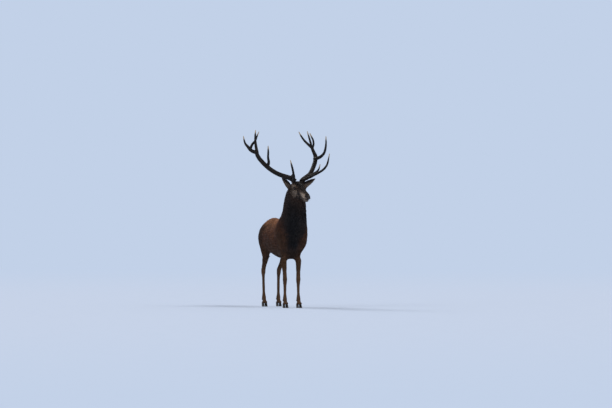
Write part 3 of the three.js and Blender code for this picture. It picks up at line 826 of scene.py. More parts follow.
class CoatFinish:
    """The markings that the hide and the coat share, with painted light and shade among them, and the two
    materials made from them.
    """

    REGIONS = ("region_a", "region_b", "region_c")
    LAYERS = ("back", "belly", "leg", "mane", "bib", "rump", "face", "pale", "dark")

    def __init__(self, colours: CoatColours = CoatColours()) -> None:
        """Builds the shared group.

        Args:
            colours: The colours by region.
        """
        self.colours = colours
        kinds = {"Place": "NodeSocketVector", "Strand": "NodeSocketVector"}
        kinds.update({name: "NodeSocketVector" for name in self.REGIONS})
        self.group = Group("coat_markings_and_painted_light", kinds, {"Color": "NodeSocketColor"})
        self.fill()

    def fill(self) -> None:
        """Mixes the regions' colours and their unevenness, with painted shade towards each tuft's root."""
        bench, inside = self.group.bench, self.group.inside
        back, belly, leg = bench.split(inside["region_a"])
        mane, bib, rump = bench.split(inside["region_b"])
        face, pale, dark = bench.split(inside["region_c"])
        along, one, lock = bench.split(inside["Strand"])
        place = inside["Place"]
        patch = bench.noise(place, 7, 3, 0.6)
        fleck = bench.noise(place, 42, 2, 0.6)
        colour = linear(*self.colours.flank)
        masks = (back, belly, leg, mane, bib, rump, face, pale, dark)
        for mask, name in zip(masks, self.LAYERS):
            colour = bench.mix(mask, colour, linear(*getattr(self.colours, name)))
        level = bench.spread(bench.total((patch, 0.9), (fleck, 0.5)), 0.35, 1.05, (0.66, 1.36))
        # Darker towards each tuft's root (along): painted shade under the overlapping tufts; one and lock
        # give each tuft's and each lock's own tone.
        strand = bench.spread(bench.total((one, 0.5), (lock, 0.45), (along, 0.38)), 0.0, 1.33, (0.6, 1.5))
        level = bench.sum("MULTIPLY", level, strand)
        grey = bench.add("ShaderNodeCombineXYZ")
        for socket in grey.inputs:
            bench.feed(socket, level)
        colour = bench.mix(1.0, colour, grey.outputs[0], "MULTIPLY")
        bench.feed(self.group.result["Color"], colour)

    def material(self, name: str, lying: bool) -> bpy.types.Material:
        """Makes a coat material.

        Args:
            name: The material's name.
            lying: Whether short lying hair shows as bump, as on the hide.

        Returns:
            The material.
        """
        material, bench, shader = start_material(name)
        feeds = {"Place": bench.rows("place"), "Strand": bench.rows("strand")}
        feeds.update({label: bench.rows(label) for label in self.REGIONS})
        bench.feed(shader.inputs["Base Color"], self.group.put(bench, feeds)["Color"])
        if lying:
            hair = bench.noise(bench.stretch(bench.rows("comb"), (60, 420, 420)), 1, 2, 0.6)
            bench.feed(shader.inputs["Normal"], bench.bump(hair, 0.6, 0.0022))
        gloss = bench.noise(bench.rows("place"), 18, 2)
        bench.feed(shader.inputs["Roughness"], bench.spread(gloss, 0.3, 0.7, (0.58, 0.78)))
        shader.inputs["Specular IOR Level"].default_value = 0.11
        shader.inputs["Sheen Weight"].default_value = 0.02
        shader.inputs["Sheen Roughness"].default_value = 0.5
        return material


# ---------------------------------------------------------------- the hide

FACE_FORMS = (
    Streak((0.064, 0.018, -0.072), (0.074, 0.060, -0.079), 0.013, 0.005),
    Streak((0.060, 0.030, -0.140), (0.046, 0.110, -0.160), 0.014, 0.004),
    Streak((0.066, 0.078, -0.108), (0.051, 0.114, -0.128), 0.0050, -0.006),
    Streak((0.050, 0.130, -0.168), (0.044, 0.200, -0.192), 0.018, -0.005),
    Streak((0.046, 0.250, -0.190), (0.044, 0.300, -0.196), 0.014, -0.0040),
    Streak((0.000, 0.020, -0.050), (0.000, 0.120, -0.085), 0.022, -0.004),
)
FACE_PALE = (
    Streak((0.078, 0.000, -0.070), (0.074, 0.042, -0.070), 0.019, 0.6),
    Streak((0.074, 0.020, -0.134), (0.062, 0.080, -0.138), 0.016, 0.45),
    Streak((0.070, 0.010, -0.160), (0.056, 0.075, -0.172), 0.034, 0.44),
    Streak((0.054, 0.190, -0.190), (0.046, 0.262, -0.214), 0.036, 1.4),
    Streak((0.015, 0.245, -0.270), (0.012, 0.310, -0.262), 0.028, 0.16),
    Streak((0.0, 0.10, -0.235), (0.0, 0.24, -0.272), 0.030, 0.1),
)


@dataclass
class Hide:
    """The one skin over trunk, neck, head, ears, tail and legs."""

    voxel: float = 0.0042
    most_triangles: int = 136000
    muscles: tuple[Streak, ...] = (
        Streak((0.075, -0.19, 1.16), (0.145, -0.35, 0.95), 0.042, 0.010),
        Streak((0.165, -0.20, 0.97), (0.150, -0.20, 0.80), 0.060, 0.013),
        Streak((0.180, -0.09, 1.06), (0.160, -0.12, 0.76), 0.032, -0.011),
        Streak((0.150, -0.39, 0.92), (0.140, -0.37, 0.87), 0.042, 0.011),
        Streak((0.125, -0.27, 1.15), (0.160, -0.42, 1.00), 0.030, -0.008),
        Streak((0.140, -0.17, 0.76), (0.130, -0.17, 0.73), 0.028, 0.012),
        Streak((0.096, -0.160, 0.70), (0.092, -0.180, 0.60), 0.034, 0.009),
        Streak((0.096, -0.300, 0.68), (0.090, -0.275, 0.58), 0.034, 0.007),
        Streak((0.130, 0.41, 1.13), (0.140, 0.44, 1.10), 0.036, 0.013),
        Streak((0.170, 0.30, 1.07), (0.180, 0.29, 0.98), 0.050, -0.013),
        Streak((0.150, 0.40, 1.06), (0.180, 0.38, 0.82), 0.046, 0.010),
        Streak((0.165, 0.34, 0.86), (0.110, 0.28, 0.75), 0.026, 0.009),
        Streak((0.150, 0.63, 1.04), (0.160, 0.58, 0.80), 0.026, -0.009),
        Streak((0.190, 0.08, 0.74), (0.180, 0.28, 0.88), 0.032, -0.008),
        Streak((0.000, -0.10, 1.17), (0.000, 0.55, 1.18), 0.030, 0.008),
        Streak((0.000, 0.28, 1.19), (0.000, 0.40, 1.19), 0.070, 0.010),
        Streak((0.020, 0.74, 1.14), (0.020, 0.84, 1.12), 0.070, 0.009),
        Streak((0.150, 0.60, 0.96), (0.130, 0.64, 0.74), 0.070, 0.012),
        Streak((0.000, 0.12, 0.660), (0.000, 0.30, 0.690), 0.030, 0.015),
    )
    inset: float = 0.25
    weights: dict[Part, np.ndarray] = field(init=False, repr=False)
    lengths: np.ndarray = field(init=False, repr=False)
    masks: dict[str, np.ndarray] = field(init=False, repr=False)
    lie: np.ndarray = field(init=False, repr=False)

    def build(self) -> Surface:
        """Makes the hide's shape from the flesh nodes.

        Returns:
            The hide's surface, inset by part of the coat's depth. This object keeps its part weights and
            hair lengths.
        """
        nodes = [node for part in Part for node in part.value]
        search = self.node_tree(nodes)
        piece = even_copy("hide", nodes, self.voxel)
        surface = Surface(piece)
        weights = self.part_weights(surface, search, 10)
        strength = np.clip(
            0.66 * (weights[Part.TRUNK] + weights[Part.NECK]) + 0.24 * weights[Part.HEAD]
            + 0.3 * weights[Part.LEG] + 0.12 * weights[Part.EAR] + 0.2 * weights[Part.TAIL], 0.05, 0.66)
        surface.relax(110, strength)
        surface.write()
        self.thin(piece, weights)
        self.refine(piece)
        surface = Surface(piece)
        self.weights = self.part_weights(surface, search, 8)
        surface.relax(4, 0.3)
        self.shape_body(surface)
        self.shape_legs(surface)
        self.shape_face(surface)
        self.lengths = self.hair_lengths(surface)
        surface.push(-self.inset * surface.soften(self.lengths, 6))
        for side in Side:
            self.shape_lids(surface, EyeShape(side))
        surface.write()
        return surface

    def node_tree(self, nodes: Sequence[str]) -> tuple[BVHTree, np.ndarray]:
        """Gathers the flesh nodes' faces for finding which part a place belongs to.

        Args:
            nodes: The flesh nodes.

        Returns:
            The search tree, and the part's index for each of its faces.
        """
        places: list[Vector] = []
        faces: list[tuple[int, ...]] = []
        owner: list[int] = []
        for index, part in enumerate(Part):
            for node in part.value:
                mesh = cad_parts[node].data
                base = len(places)
                places.extend(vertex.co.copy() for vertex in mesh.vertices)
                faces.extend(tuple(base + v for v in polygon.vertices) for polygon in mesh.polygons)
                owner.extend([index] * len(mesh.polygons))
        return BVHTree.FromPolygons(places, faces), np.array(owner)

    def part_weights(self, surface: Surface, search: tuple[BVHTree, np.ndarray],
                     rounds: int) -> dict[Part, np.ndarray]:
        """How far each point belongs to each part, softened at the borders.

        Args:
            surface: The surface to judge.
            search: The flesh nodes' search tree, and the part's index for each of its faces.
            rounds: How far the borders are softened.

        Returns:
            A number from 0 to 1 at each point for each part.
        """
        tree, owner = search
        index = owner[[tree.find_nearest(Vector(point))[2] for point in surface.points]]
        return {part: surface.soften((index == i).astype(float), rounds) for i, part in enumerate(Part)}

    def thin(self, piece: bpy.types.Object, weights: dict[Part, np.ndarray]) -> None:
        """Lowers the face count where the shape is plain.

        Args:
            piece: The hide.
            weights: Its part weights.
        """
        count = sum(len(polygon.vertices) - 2 for polygon in piece.data.polygons)
        if count <= self.most_triangles:
            return
        only(piece)
        group = piece.vertex_groups.new(name="plain")
        plain = np.clip(weights[Part.TRUNK] + weights[Part.NECK] + 0.6 * weights[Part.LEG], 0, 1)
        for level in np.linspace(0.1, 1, 10):
            chosen = np.nonzero((plain > level - 0.1) & (plain <= level))[0]
            group.add(chosen.tolist(), float(level), "REPLACE")
        modifier = piece.modifiers.new("thin", "DECIMATE")
        modifier.ratio = self.most_triangles / count
        modifier.vertex_group = "plain"
        bpy.ops.object.modifier_apply(modifier=modifier.name)
        piece.vertex_groups.clear()

    def refine(self, piece: bpy.types.Object) -> None:
        """Gives the eyes and lips a finer mesh.

        Args:
            piece: The hide.
        """
        eyes = [EyeShape(side).centre for side in Side]
        nose, lips = HEAD.place((0, 0.330, -0.208)), HEAD.place((0, 0.290, -0.236))
        for spots in (
            [(eyes[0], 0.040), (eyes[1], 0.040), (lips, 0.075)],
            [(eyes[0], 0.027), (eyes[1], 0.027), (nose, 0.040)],
        ):
            only(piece)
            bpy.ops.object.mode_set(mode="EDIT")
            bpy.ops.mesh.select_mode(type="FACE")
            bpy.ops.mesh.select_all(action="DESELECT")
            bpy.ops.object.mode_set(mode="OBJECT")
            mesh = piece.data
            flat = np.empty(len(mesh.polygons) * 3, np.float32)
            mesh.polygons.foreach_get("center", flat)
            centres = flat.reshape(-1, 3)
            chosen = np.zeros(len(centres), bool)
            for place, reach in spots:
                chosen |= np.linalg.norm(centres - place, axis=1) < reach
            mesh.polygons.foreach_set("select", chosen)
            bpy.ops.object.mode_set(mode="EDIT")
            bpy.ops.mesh.subdivide(number_cuts=1, smoothness=0)
            bpy.ops.mesh.select_all(action="SELECT")
            bpy.ops.mesh.quads_convert_to_tris()
            bpy.ops.object.mode_set(mode="OBJECT")

    def shape_body(self, surface: Surface) -> None:
        """Raises the muscles and bones that show through the coat.

        Args:
            surface: The hide.
        """
        folded = fold(surface.points - np.array([MID_X, 0, 0]))
        rise = streaks(folded, self.muscles)
        body = np.clip(self.weights[Part.TRUNK] + self.weights[Part.LEG], 0, 1)
        upper_arm = band(folded, (0.150, -0.255, 0.82), (0.130, -0.235, 0.67), 0.050)
        uneven = 0.0022 * lumps(surface.points, 0.11, 3)
        rise = rise * body + (0.010 * upper_arm + uneven) * self.weights[Part.TRUNK]
        surface.push(surface.soften(rise, 6))
        _, y, z = surface.points.T
        armpit = np.exp(-((z - 0.662) / 0.050) ** 2) * smoothstep(0.04, -0.06, y)
        surface.points = surface.soften(surface.points, 130, 0.66 * armpit)

    def shape_legs(self, surface: Surface) -> None:
        """Cuts the grooves between cannon bones and tendons.

        Args:
            surface: The hide.
        """
        rise = np.zeros(len(surface.points))
        for node in Part.LEG.value:
            fore = node.startswith("fore")
            heel = centre_of(f"{node}_dewclaw_inner") * 0.5 + centre_of(f"{node}_dewclaw_outer") * 0.5
            top = 0.345 if fore else 0.43
            for way in (-1, 1):
                start = (heel[0] + way * 0.020, heel[1] - 0.004 + (0.010 if fore else 0.0), 0.15)
                end = (heel[0] + way * 0.021, heel[1] + (0.016 if fore else 0.004), top)
                rise -= 0.0035 * band(surface.points, start, end, 0.009)
        surface.push(rise * self.weights[Part.LEG])
        height = surface.points[:, 2].copy()
        surface.push(0.0070 * smoothstep(0.084, 0.060, height) * (surface.normals()[:, 2] > -0.6))
        surface.points[:, 2] -= 0.007 * smoothstep(0.068, 0.054, height)

    def shape_face(self, surface: Surface) -> None:
        """Shapes the brow, cheek, tear gland, lips and nostril wings.

        Args:
            surface: The hide.
        """
        local = HEAD.local(surface.points)
        rise = streaks(fold(local), FACE_FORMS)
        lips = above_mouth(local)
        fade = smoothstep(MOUTH_CORNER, MOUTH_CORNER + 0.014, local[:, 1])
        rise -= 0.0055 * np.exp(-(lips / 0.0030) ** 2) * fade
        rise += 0.0030 * np.exp(-((lips - 0.0090) / 0.0065) ** 2) * fade
        rise -= 0.0022 * smoothstep(-0.001, -0.006, lips) * smoothstep(-0.030, -0.018, lips) * fade
        surface.push(surface.soften(rise * np.clip(self.weights[Part.HEAD] * 2, 0, 1), 1))
        local = HEAD.local(surface.points)
        for side in Side:
            nostril = Nostril(side)
            reach = nostril.closeness(local)
            depth = nostril.depth * np.exp(-(reach**3) * 0.9)
            wing = 0.0016 * np.exp(-((reach - 1.5) / 0.35) ** 2)
            surface.points = surface.points + (depth - wing)[:, None] * HEAD.turn(nostril.inward)

    def shape_lids(self, surface: Surface, eye: EyeShape) -> None:
        """Draws the lids over an eyeball and opens them.

        Args:
            surface: The hide.
            eye: The eye.
        """
        x, y, z = eye.view(surface.points)
        radial = np.hypot(x, y)
        near = (radial < 0.036) & (z > -0.014)
        beyond = eye.beyond(x, y)
        cover = eye.radius + eye.lid * smoothstep(-0.0002, 0.0012, beyond)
        ball = np.sqrt(np.maximum(cover**2 - radial**2, 0.0))
        blend = 0.0045
        overlap = np.maximum(blend - np.abs(z - ball), 0) / blend
        height = np.maximum(z, ball) + overlap**2 * blend * 0.25
        height -= 0.0019 * np.exp(-((beyond - 0.0062) / 0.0016) ** 2) * smoothstep(-0.002, 0.004, y)
        height -= 0.0011 * np.exp(-((beyond - 0.0060) / 0.0018) ** 2) * smoothstep(0.001, -0.004, y)
        height += 0.0007 * np.exp(-((beyond - 0.0018) / 0.0014) ** 2)
        behind = np.sqrt(np.maximum(eye.radius**2 - radial**2, 0.0)) - 0.0034
        opened = smoothstep(0.0004, -0.0006, beyond)
        height = height * (1 - opened) + behind * opened
        surface.points = surface.points + eye.axes[2] * (np.where(near, height - z, 0.0))[:, None]

    def hair_lengths(self, surface: Surface) -> np.ndarray:
        """The coat's length over the body.

        Args:
            surface: The hide.

        Returns:
            Hair length in metres at each point.
        """
        weights, points = self.weights, surface.points
        local = HEAD.local(points)
        back_of_head = smoothstep(0.22, -0.02, local[:, 1])
        head = 0.0060 + 0.0100 * back_of_head
        throat = smoothstep(-0.20, -0.42, points[:, 1]) * smoothstep(0.75, 0.95, points[:, 2])
        neck = 0.046 + 0.020 * smoothstep(1.45, 1.15, points[:, 2])
        trunk = (0.026 + 0.030 * throat) * (1 - 0.5 * smoothstep(0.78, 0.67, points[:, 2]))
        leg = 0.009 + 0.011 * smoothstep(0.44, 0.66, points[:, 2])
        leg = leg + 0.007 * smoothstep(0.090, 0.062, points[:, 2])
        total = (weights[Part.TRUNK] * trunk + weights[Part.NECK] * neck + weights[Part.HEAD] * head
                 + weights[Part.EAR] * 0.008 + weights[Part.TAIL] * 0.034 + weights[Part.LEG] * leg)
        near = np.ones(len(points))
        for side in Side:
            eye = EyeShape(side)
            near = np.minimum(near, smoothstep(0.014, 0.040, np.linalg.norm(points - eye.centre, axis=1)))
        near = np.minimum(near, smoothstep(0.000, 0.020, np.abs(above_mouth(local))))
        return surface.soften(total, 14) * (0.45 + 0.55 * near)

    def flow(self, surface: Surface) -> np.ndarray:
        """The way the coat lies.

        Args:
            surface: The hide.

        Returns:
            A unit direction along the skin at each point.
        """
        points, normals, weights = surface.points, surface.normals(), self.weights
        local = HEAD.local(points)
        front = smoothstep(-0.05, -0.34, points[:, 1])
        haunch = smoothstep(0.42, 0.74, points[:, 1])
        under = smoothstep(-0.5, -0.9, normals[:, 2])
        trunk = np.stack([
            np.zeros(len(points)),
            1 - 0.75 * front - 0.45 * haunch,
            (-0.3 - 0.75 * front - 0.6 * haunch) * (1 - 0.8 * under),
        ], axis=1)
        neck = np.tile(unit(np.array([0.0, 0.34, -0.93])), (len(points), 1))
        back = HEAD.turn((0, -0.94, 0.34))
        droop = HEAD.turn((0, -0.75, -0.65))
        cheek = smoothstep(-0.12, -0.19, local[:, 2] + 0.30 * np.maximum(local[:, 1] - 0.05, 0))[:, None]
        head = back * (1 - cheek) + droop * cheek
        total = weights[Part.TRUNK][:, None] * trunk + weights[Part.NECK][:, None] * neck
        total += weights[Part.HEAD][:, None] * head
        total += weights[Part.LEG][:, None] * np.array([0, 0.06, -1.0])
        total += weights[Part.TAIL][:, None] * np.array([0, 0.35, -0.9])
        for side in Side:
            own = (np.sign(local[:, 0]) == side.value) * weights[Part.EAR]
            root, tip = EarShape(side).ends
            total += own[:, None] * unit(tip - root)
        total = surface.soften(total, 14)
        total -= normals * np.sum(total * normals, axis=1, keepdims=True)
        return unit(total)

    def regions(self, surface: Surface) -> dict[str, np.ndarray]:
        """The markings' masks, with painted light and shade in some of them.

        Args:
            surface: The hide.

        Returns:
            Three masks in a row at each point, under each region attribute's name.
        """
        normals = surface.normals()
        head = np.clip(self.weights[Part.HEAD] + self.weights[Part.EAR], 0, 1)
        back, belly, leg, mane, bib, rump = self.body_masks(surface.points, normals)
        pale, dark = self.face_masks(surface.points, normals)
        return {
            "region_a": np.stack([back, belly, leg], axis=1),
            "region_b": np.stack([mane * (1 - head), bib * (1 - head), rump], axis=1),
            "region_c": np.stack([head, pale * head, dark * head], axis=1),
        }

    def body_masks(self, points: np.ndarray, normals: np.ndarray) -> tuple[np.ndarray, ...]:
        """The markings behind the head, with painted highlight in the back mask and painted shade in the
        belly mask and the bib's offset.

        Args:
            points: The hide's points.
            normals: The outward directions there.

        Returns:
            The masks of back, belly, leg, mane, bib and rump at each point.
        """
        weights = self.weights
        wander = 0.03 * lumps(points, 0.09, 11) + 0.012 * lumps(points, 0.03, 12)
        across = np.abs(points[:, 0] - MID_X)
        y, z = points[:, 1] + wander, points[:, 2] + wander
        body = np.clip(weights[Part.TRUNK] + weights[Part.LEG] + weights[Part.TAIL], 0, 1)
        # back: lighter along the top of the body, partly the back's own hair and partly painted highlight
        # from above
        back = smoothstep(0.96, 1.12, z) * smoothstep(-0.25, 0.05, y) * body
        # belly: painted shade, darker where the hide faces down and lower on the body
        belly = smoothstep(-0.25, -0.8, normals[:, 2]) * smoothstep(0.90, 0.74, z)
        belly = np.maximum(belly, 0.6 * smoothstep(1.02, 0.76, z)) * body
        leg = smoothstep(0.96, 0.50, z) * smoothstep(0.02, 0.08, across) * body
        spread = 0.10 * lumps(points, 0.13, 13) + 0.05 * lumps(points, 0.05, 14)
        border = np.interp(z, (0.85, 1.00, 1.10, 1.20, 1.32), (-0.45, -0.41, -0.36, -0.27, -0.07))
        mane = smoothstep(-0.07, 0.05, border - y + 0.7 * spread) * smoothstep(0.84, 0.96, z)
        mane *= 1 - 0.8 * smoothstep(0.09, 0.17, across) * smoothstep(1.16, 1.04, z)
        mane *= 1 - 0.30 * smoothstep(-0.55, 0.10, normals[:, 1]) * smoothstep(1.46, 1.30, z)
        # The bib's middle sits 40 mm to the animal's right: painted shade on that side of the chest. The dark
        # bib itself is the coat's own marking.
        middle = np.abs(points[:, 0] - MID_X + 0.040)
        bib = smoothstep(0.105, 0.03, middle) * smoothstep(-0.28, -0.42, y) * smoothstep(0.68, 0.84, z)
        throat = np.abs(points[:, 0] - MID_X - 0.030)
        gullet = smoothstep(0.17, 0.09, throat) * smoothstep(0.2, -0.5, normals[:, 1]) * weights[Part.NECK]
        bib = np.maximum(bib, 0.85 * gullet * smoothstep(1.06, 1.24, z + 0.6 * spread))
        width = np.interp(z, (0.72, 0.84, 0.98, 1.12), (0.030, 0.060, 0.122, 0.108))
        rump = smoothstep(0.020, -0.020, across + 0.9 * wander - width) * smoothstep(0.62, 0.68, y)
        rump *= smoothstep(0.76, 0.88, z) * smoothstep(1.165, 1.13, z) * body
        rump = np.maximum(rump, weights[Part.TAIL] * 0.8)
        shoulder = smoothstep(-0.10, -0.28, y) * (1 - mane)
        shoulder = shoulder * smoothstep(1.16, 1.02, z) * smoothstep(0.68, 0.86, z)
        # haunch: painted shade on the haunch's sides where they turn away from the light, on both sides alike
        haunch = smoothstep(0.34, 0.50, y) * smoothstep(0.110, 0.165, across) * (1 - rump)
        belly = np.maximum(belly, np.clip(0.60 * shoulder + 0.85 * haunch, 0, 1) * body)
        leg = np.maximum(leg, 0.50 * shoulder * body)
        beside = np.stack([across, y, z], axis=1)
        # flank: painted shade in the groove in front of the thigh, a band of the belly's darker brown
        flank = band(beside, (0.18, 0.30, 1.06), (0.19, 0.28, 0.90), 0.06)
        # painted highlight: a lighter band of the back's brown down the ribs
        rib_highlight = band(beside, (0.15, -0.02, 1.12), (0.20, -0.04, 0.95), 0.06)
        belly = np.maximum(belly, 0.5 * flank * body)
        back = np.maximum(back, 0.6 * rib_highlight * body)
        return back, belly, leg, mane, bib, rump

    def face_masks(self, points: np.ndarray, normals: np.ndarray) -> tuple[np.ndarray, np.ndarray]:
        """The markings of the head.

        Args:
            points: The hide's points.
            normals: The outward directions there.

        Returns:
            The masks of pale and dark hair at each point, which count on the head only.
            The dark mask also holds painted shade under the head and inside the ear cups.
        """
        weights, local = self.weights, HEAD.local(points)
        folded = fold(local)
        out, ahead, up = folded.T
        # under: painted shade where the head and jaw face down
        under = smoothstep(-0.2, -0.8, normals[:, 2]) * smoothstep(0.24, 0.20, ahead)
        hollow, fringe = np.zeros(len(points)), np.zeros(len(points))
        # hollow: painted shade inside each ear's cup; fringe: the pale hair on its inner edges
        for side in Side:
            own = weights[Part.EAR] * (local[:, 0] * side.value > 0)
            found = EarShape(side).hollow(points, normals)
            hollow, fringe = hollow + own * found[0], fringe + own * found[1]
        pale = streaks(folded, FACE_PALE) + 0.36 * fringe
        ridge = np.interp(ahead, (0.12, 0.20, 0.27), (0.060, 0.050, 0.034))
        bridge = smoothstep(0, -0.024, out - ridge) * smoothstep(-0.02, 0.06, ahead)
        bridge *= smoothstep(-0.5, 0.3, normals[:, 2])
        top = smoothstep(-0.085, -0.050, up) * smoothstep(0.075, 0.03, out)
        stripe = band(folded, (0.052, 0.112, -0.140), (0.048, 0.118, -0.215), 0.020)
        gland = band(folded, (0.066, 0.078, -0.108), (0.051, 0.114, -0.128), 0.007)
        lip = np.exp(-(above_mouth(local) / 0.0070) ** 2)
        pad = smoothstep(1.20, 1.04, NosePad.share(local)) * smoothstep(0.280, 0.304, ahead)
        hind = smoothstep(0.020, -0.070, ahead) * smoothstep(-0.06, -0.12, up)
        lids = np.zeros(len(points))
        for side in Side:
            shape = EyeShape(side)
            x, level, depth = shape.view(points)
            lids += smoothstep(0.0080, 0.0024, shape.beyond(x, level)) * (depth > -0.005)
        keep = (1 - 0.8 * np.clip(bridge + stripe, 0, 1)) * (1 - np.clip(lids + pad, 0, 1))
        dark = 0.85 * bridge + 0.95 * top + 0.9 * gland + 0.85 * lip + 1.2 * lids + 1.2 * pad + 0.6 * stripe
        # under adds painted shade under the head, hollow painted shade inside the ear cups
        dark = dark + 0.7 * under + 0.6 * hind + 0.5 * hollow + 0.35 * weights[Part.EAR]
        return np.clip(pale * keep, 0, 1), np.clip(dark, 0, 1)

    def dress(self, surface: Surface, finish: CoatFinish) -> None:
        """Keeps the regions on the hide and gives it its finish.

        Args:
            surface: The hide.
            finish: The coat's finish.
        """
        self.masks = self.regions(surface)
        self.lie = self.flow(surface)
        for name, rows in self.masks.items():
            surface.store(name, rows)
        points = surface.points
        surface.store("place", points)
        count = len(points)
        mottle = 0.5 + 0.4 * lumps(points, 0.01, 21)
        # The hide takes a tuft root's tone (along 0.25): painted shade under the coat.
        surface.store("strand", np.stack([np.full(count, 0.25), mottle, np.full(count, 0.45)], axis=1))
        normals = surface.normals()
        ways = (self.lie, np.cross(self.lie, normals), normals)
        surface.store("comb", np.stack([np.sum(points * way, axis=1) for way in ways], axis=1))
        nodes = [node for part in Part for node in part.value]
        hand_over(surface.piece, finish.material("hide_coat", True), nodes)


# ---------------------------------------------------------------- the coat

@dataclass(frozen=True)
class Spike:
    """How one tuft's points are joined into a closed body and laid on its patch of the layout."""

    faces: tuple[tuple[int, int, int], ...]
    along: tuple[float, ...]
    spots: tuple[tuple[float, float], ...]


LONG_TUFT = Spike(
    ((0, 1, 3), (0, 3, 2), (0, 4, 1), (0, 2, 4), (1, 4, 3), (2, 3, 5), (3, 4, 5), (4, 2, 5)),
    (0.0, 0.0, 0.5, 0.5, 0.5, 1.0),
    ((0, 0), (1, 0), (0, 0.5), (1, 0.5), (0.5, 0.5), (0.5, 1.0)),
)
SHORT_TUFT = Spike(
    ((0, 1, 3), (0, 2, 1), (1, 2, 3), (2, 0, 3)),
    (0.0, 0.0, 0.15, 1.0),
    ((0, 0), (1, 0), (0.5, 0.4), (0.5, 1.0)),
)


@dataclass(frozen=True)
class CoatPatch:
    """One piece of the coat: where its tufts stand and how they are laid out flat."""

    name: str
    slot: str
    parts: tuple[Part, ...]
    tufts: int
    side: Side | None = None
    rear: bool | None = None
    mane: bool = False
    spike: Spike = LONG_TUFT


LASHES = CoatPatch("lashes", "face_coat", (Part.HEAD,), 190)
WHISKERS = CoatPatch("whiskers", "face_coat", (Part.HEAD,), 90)


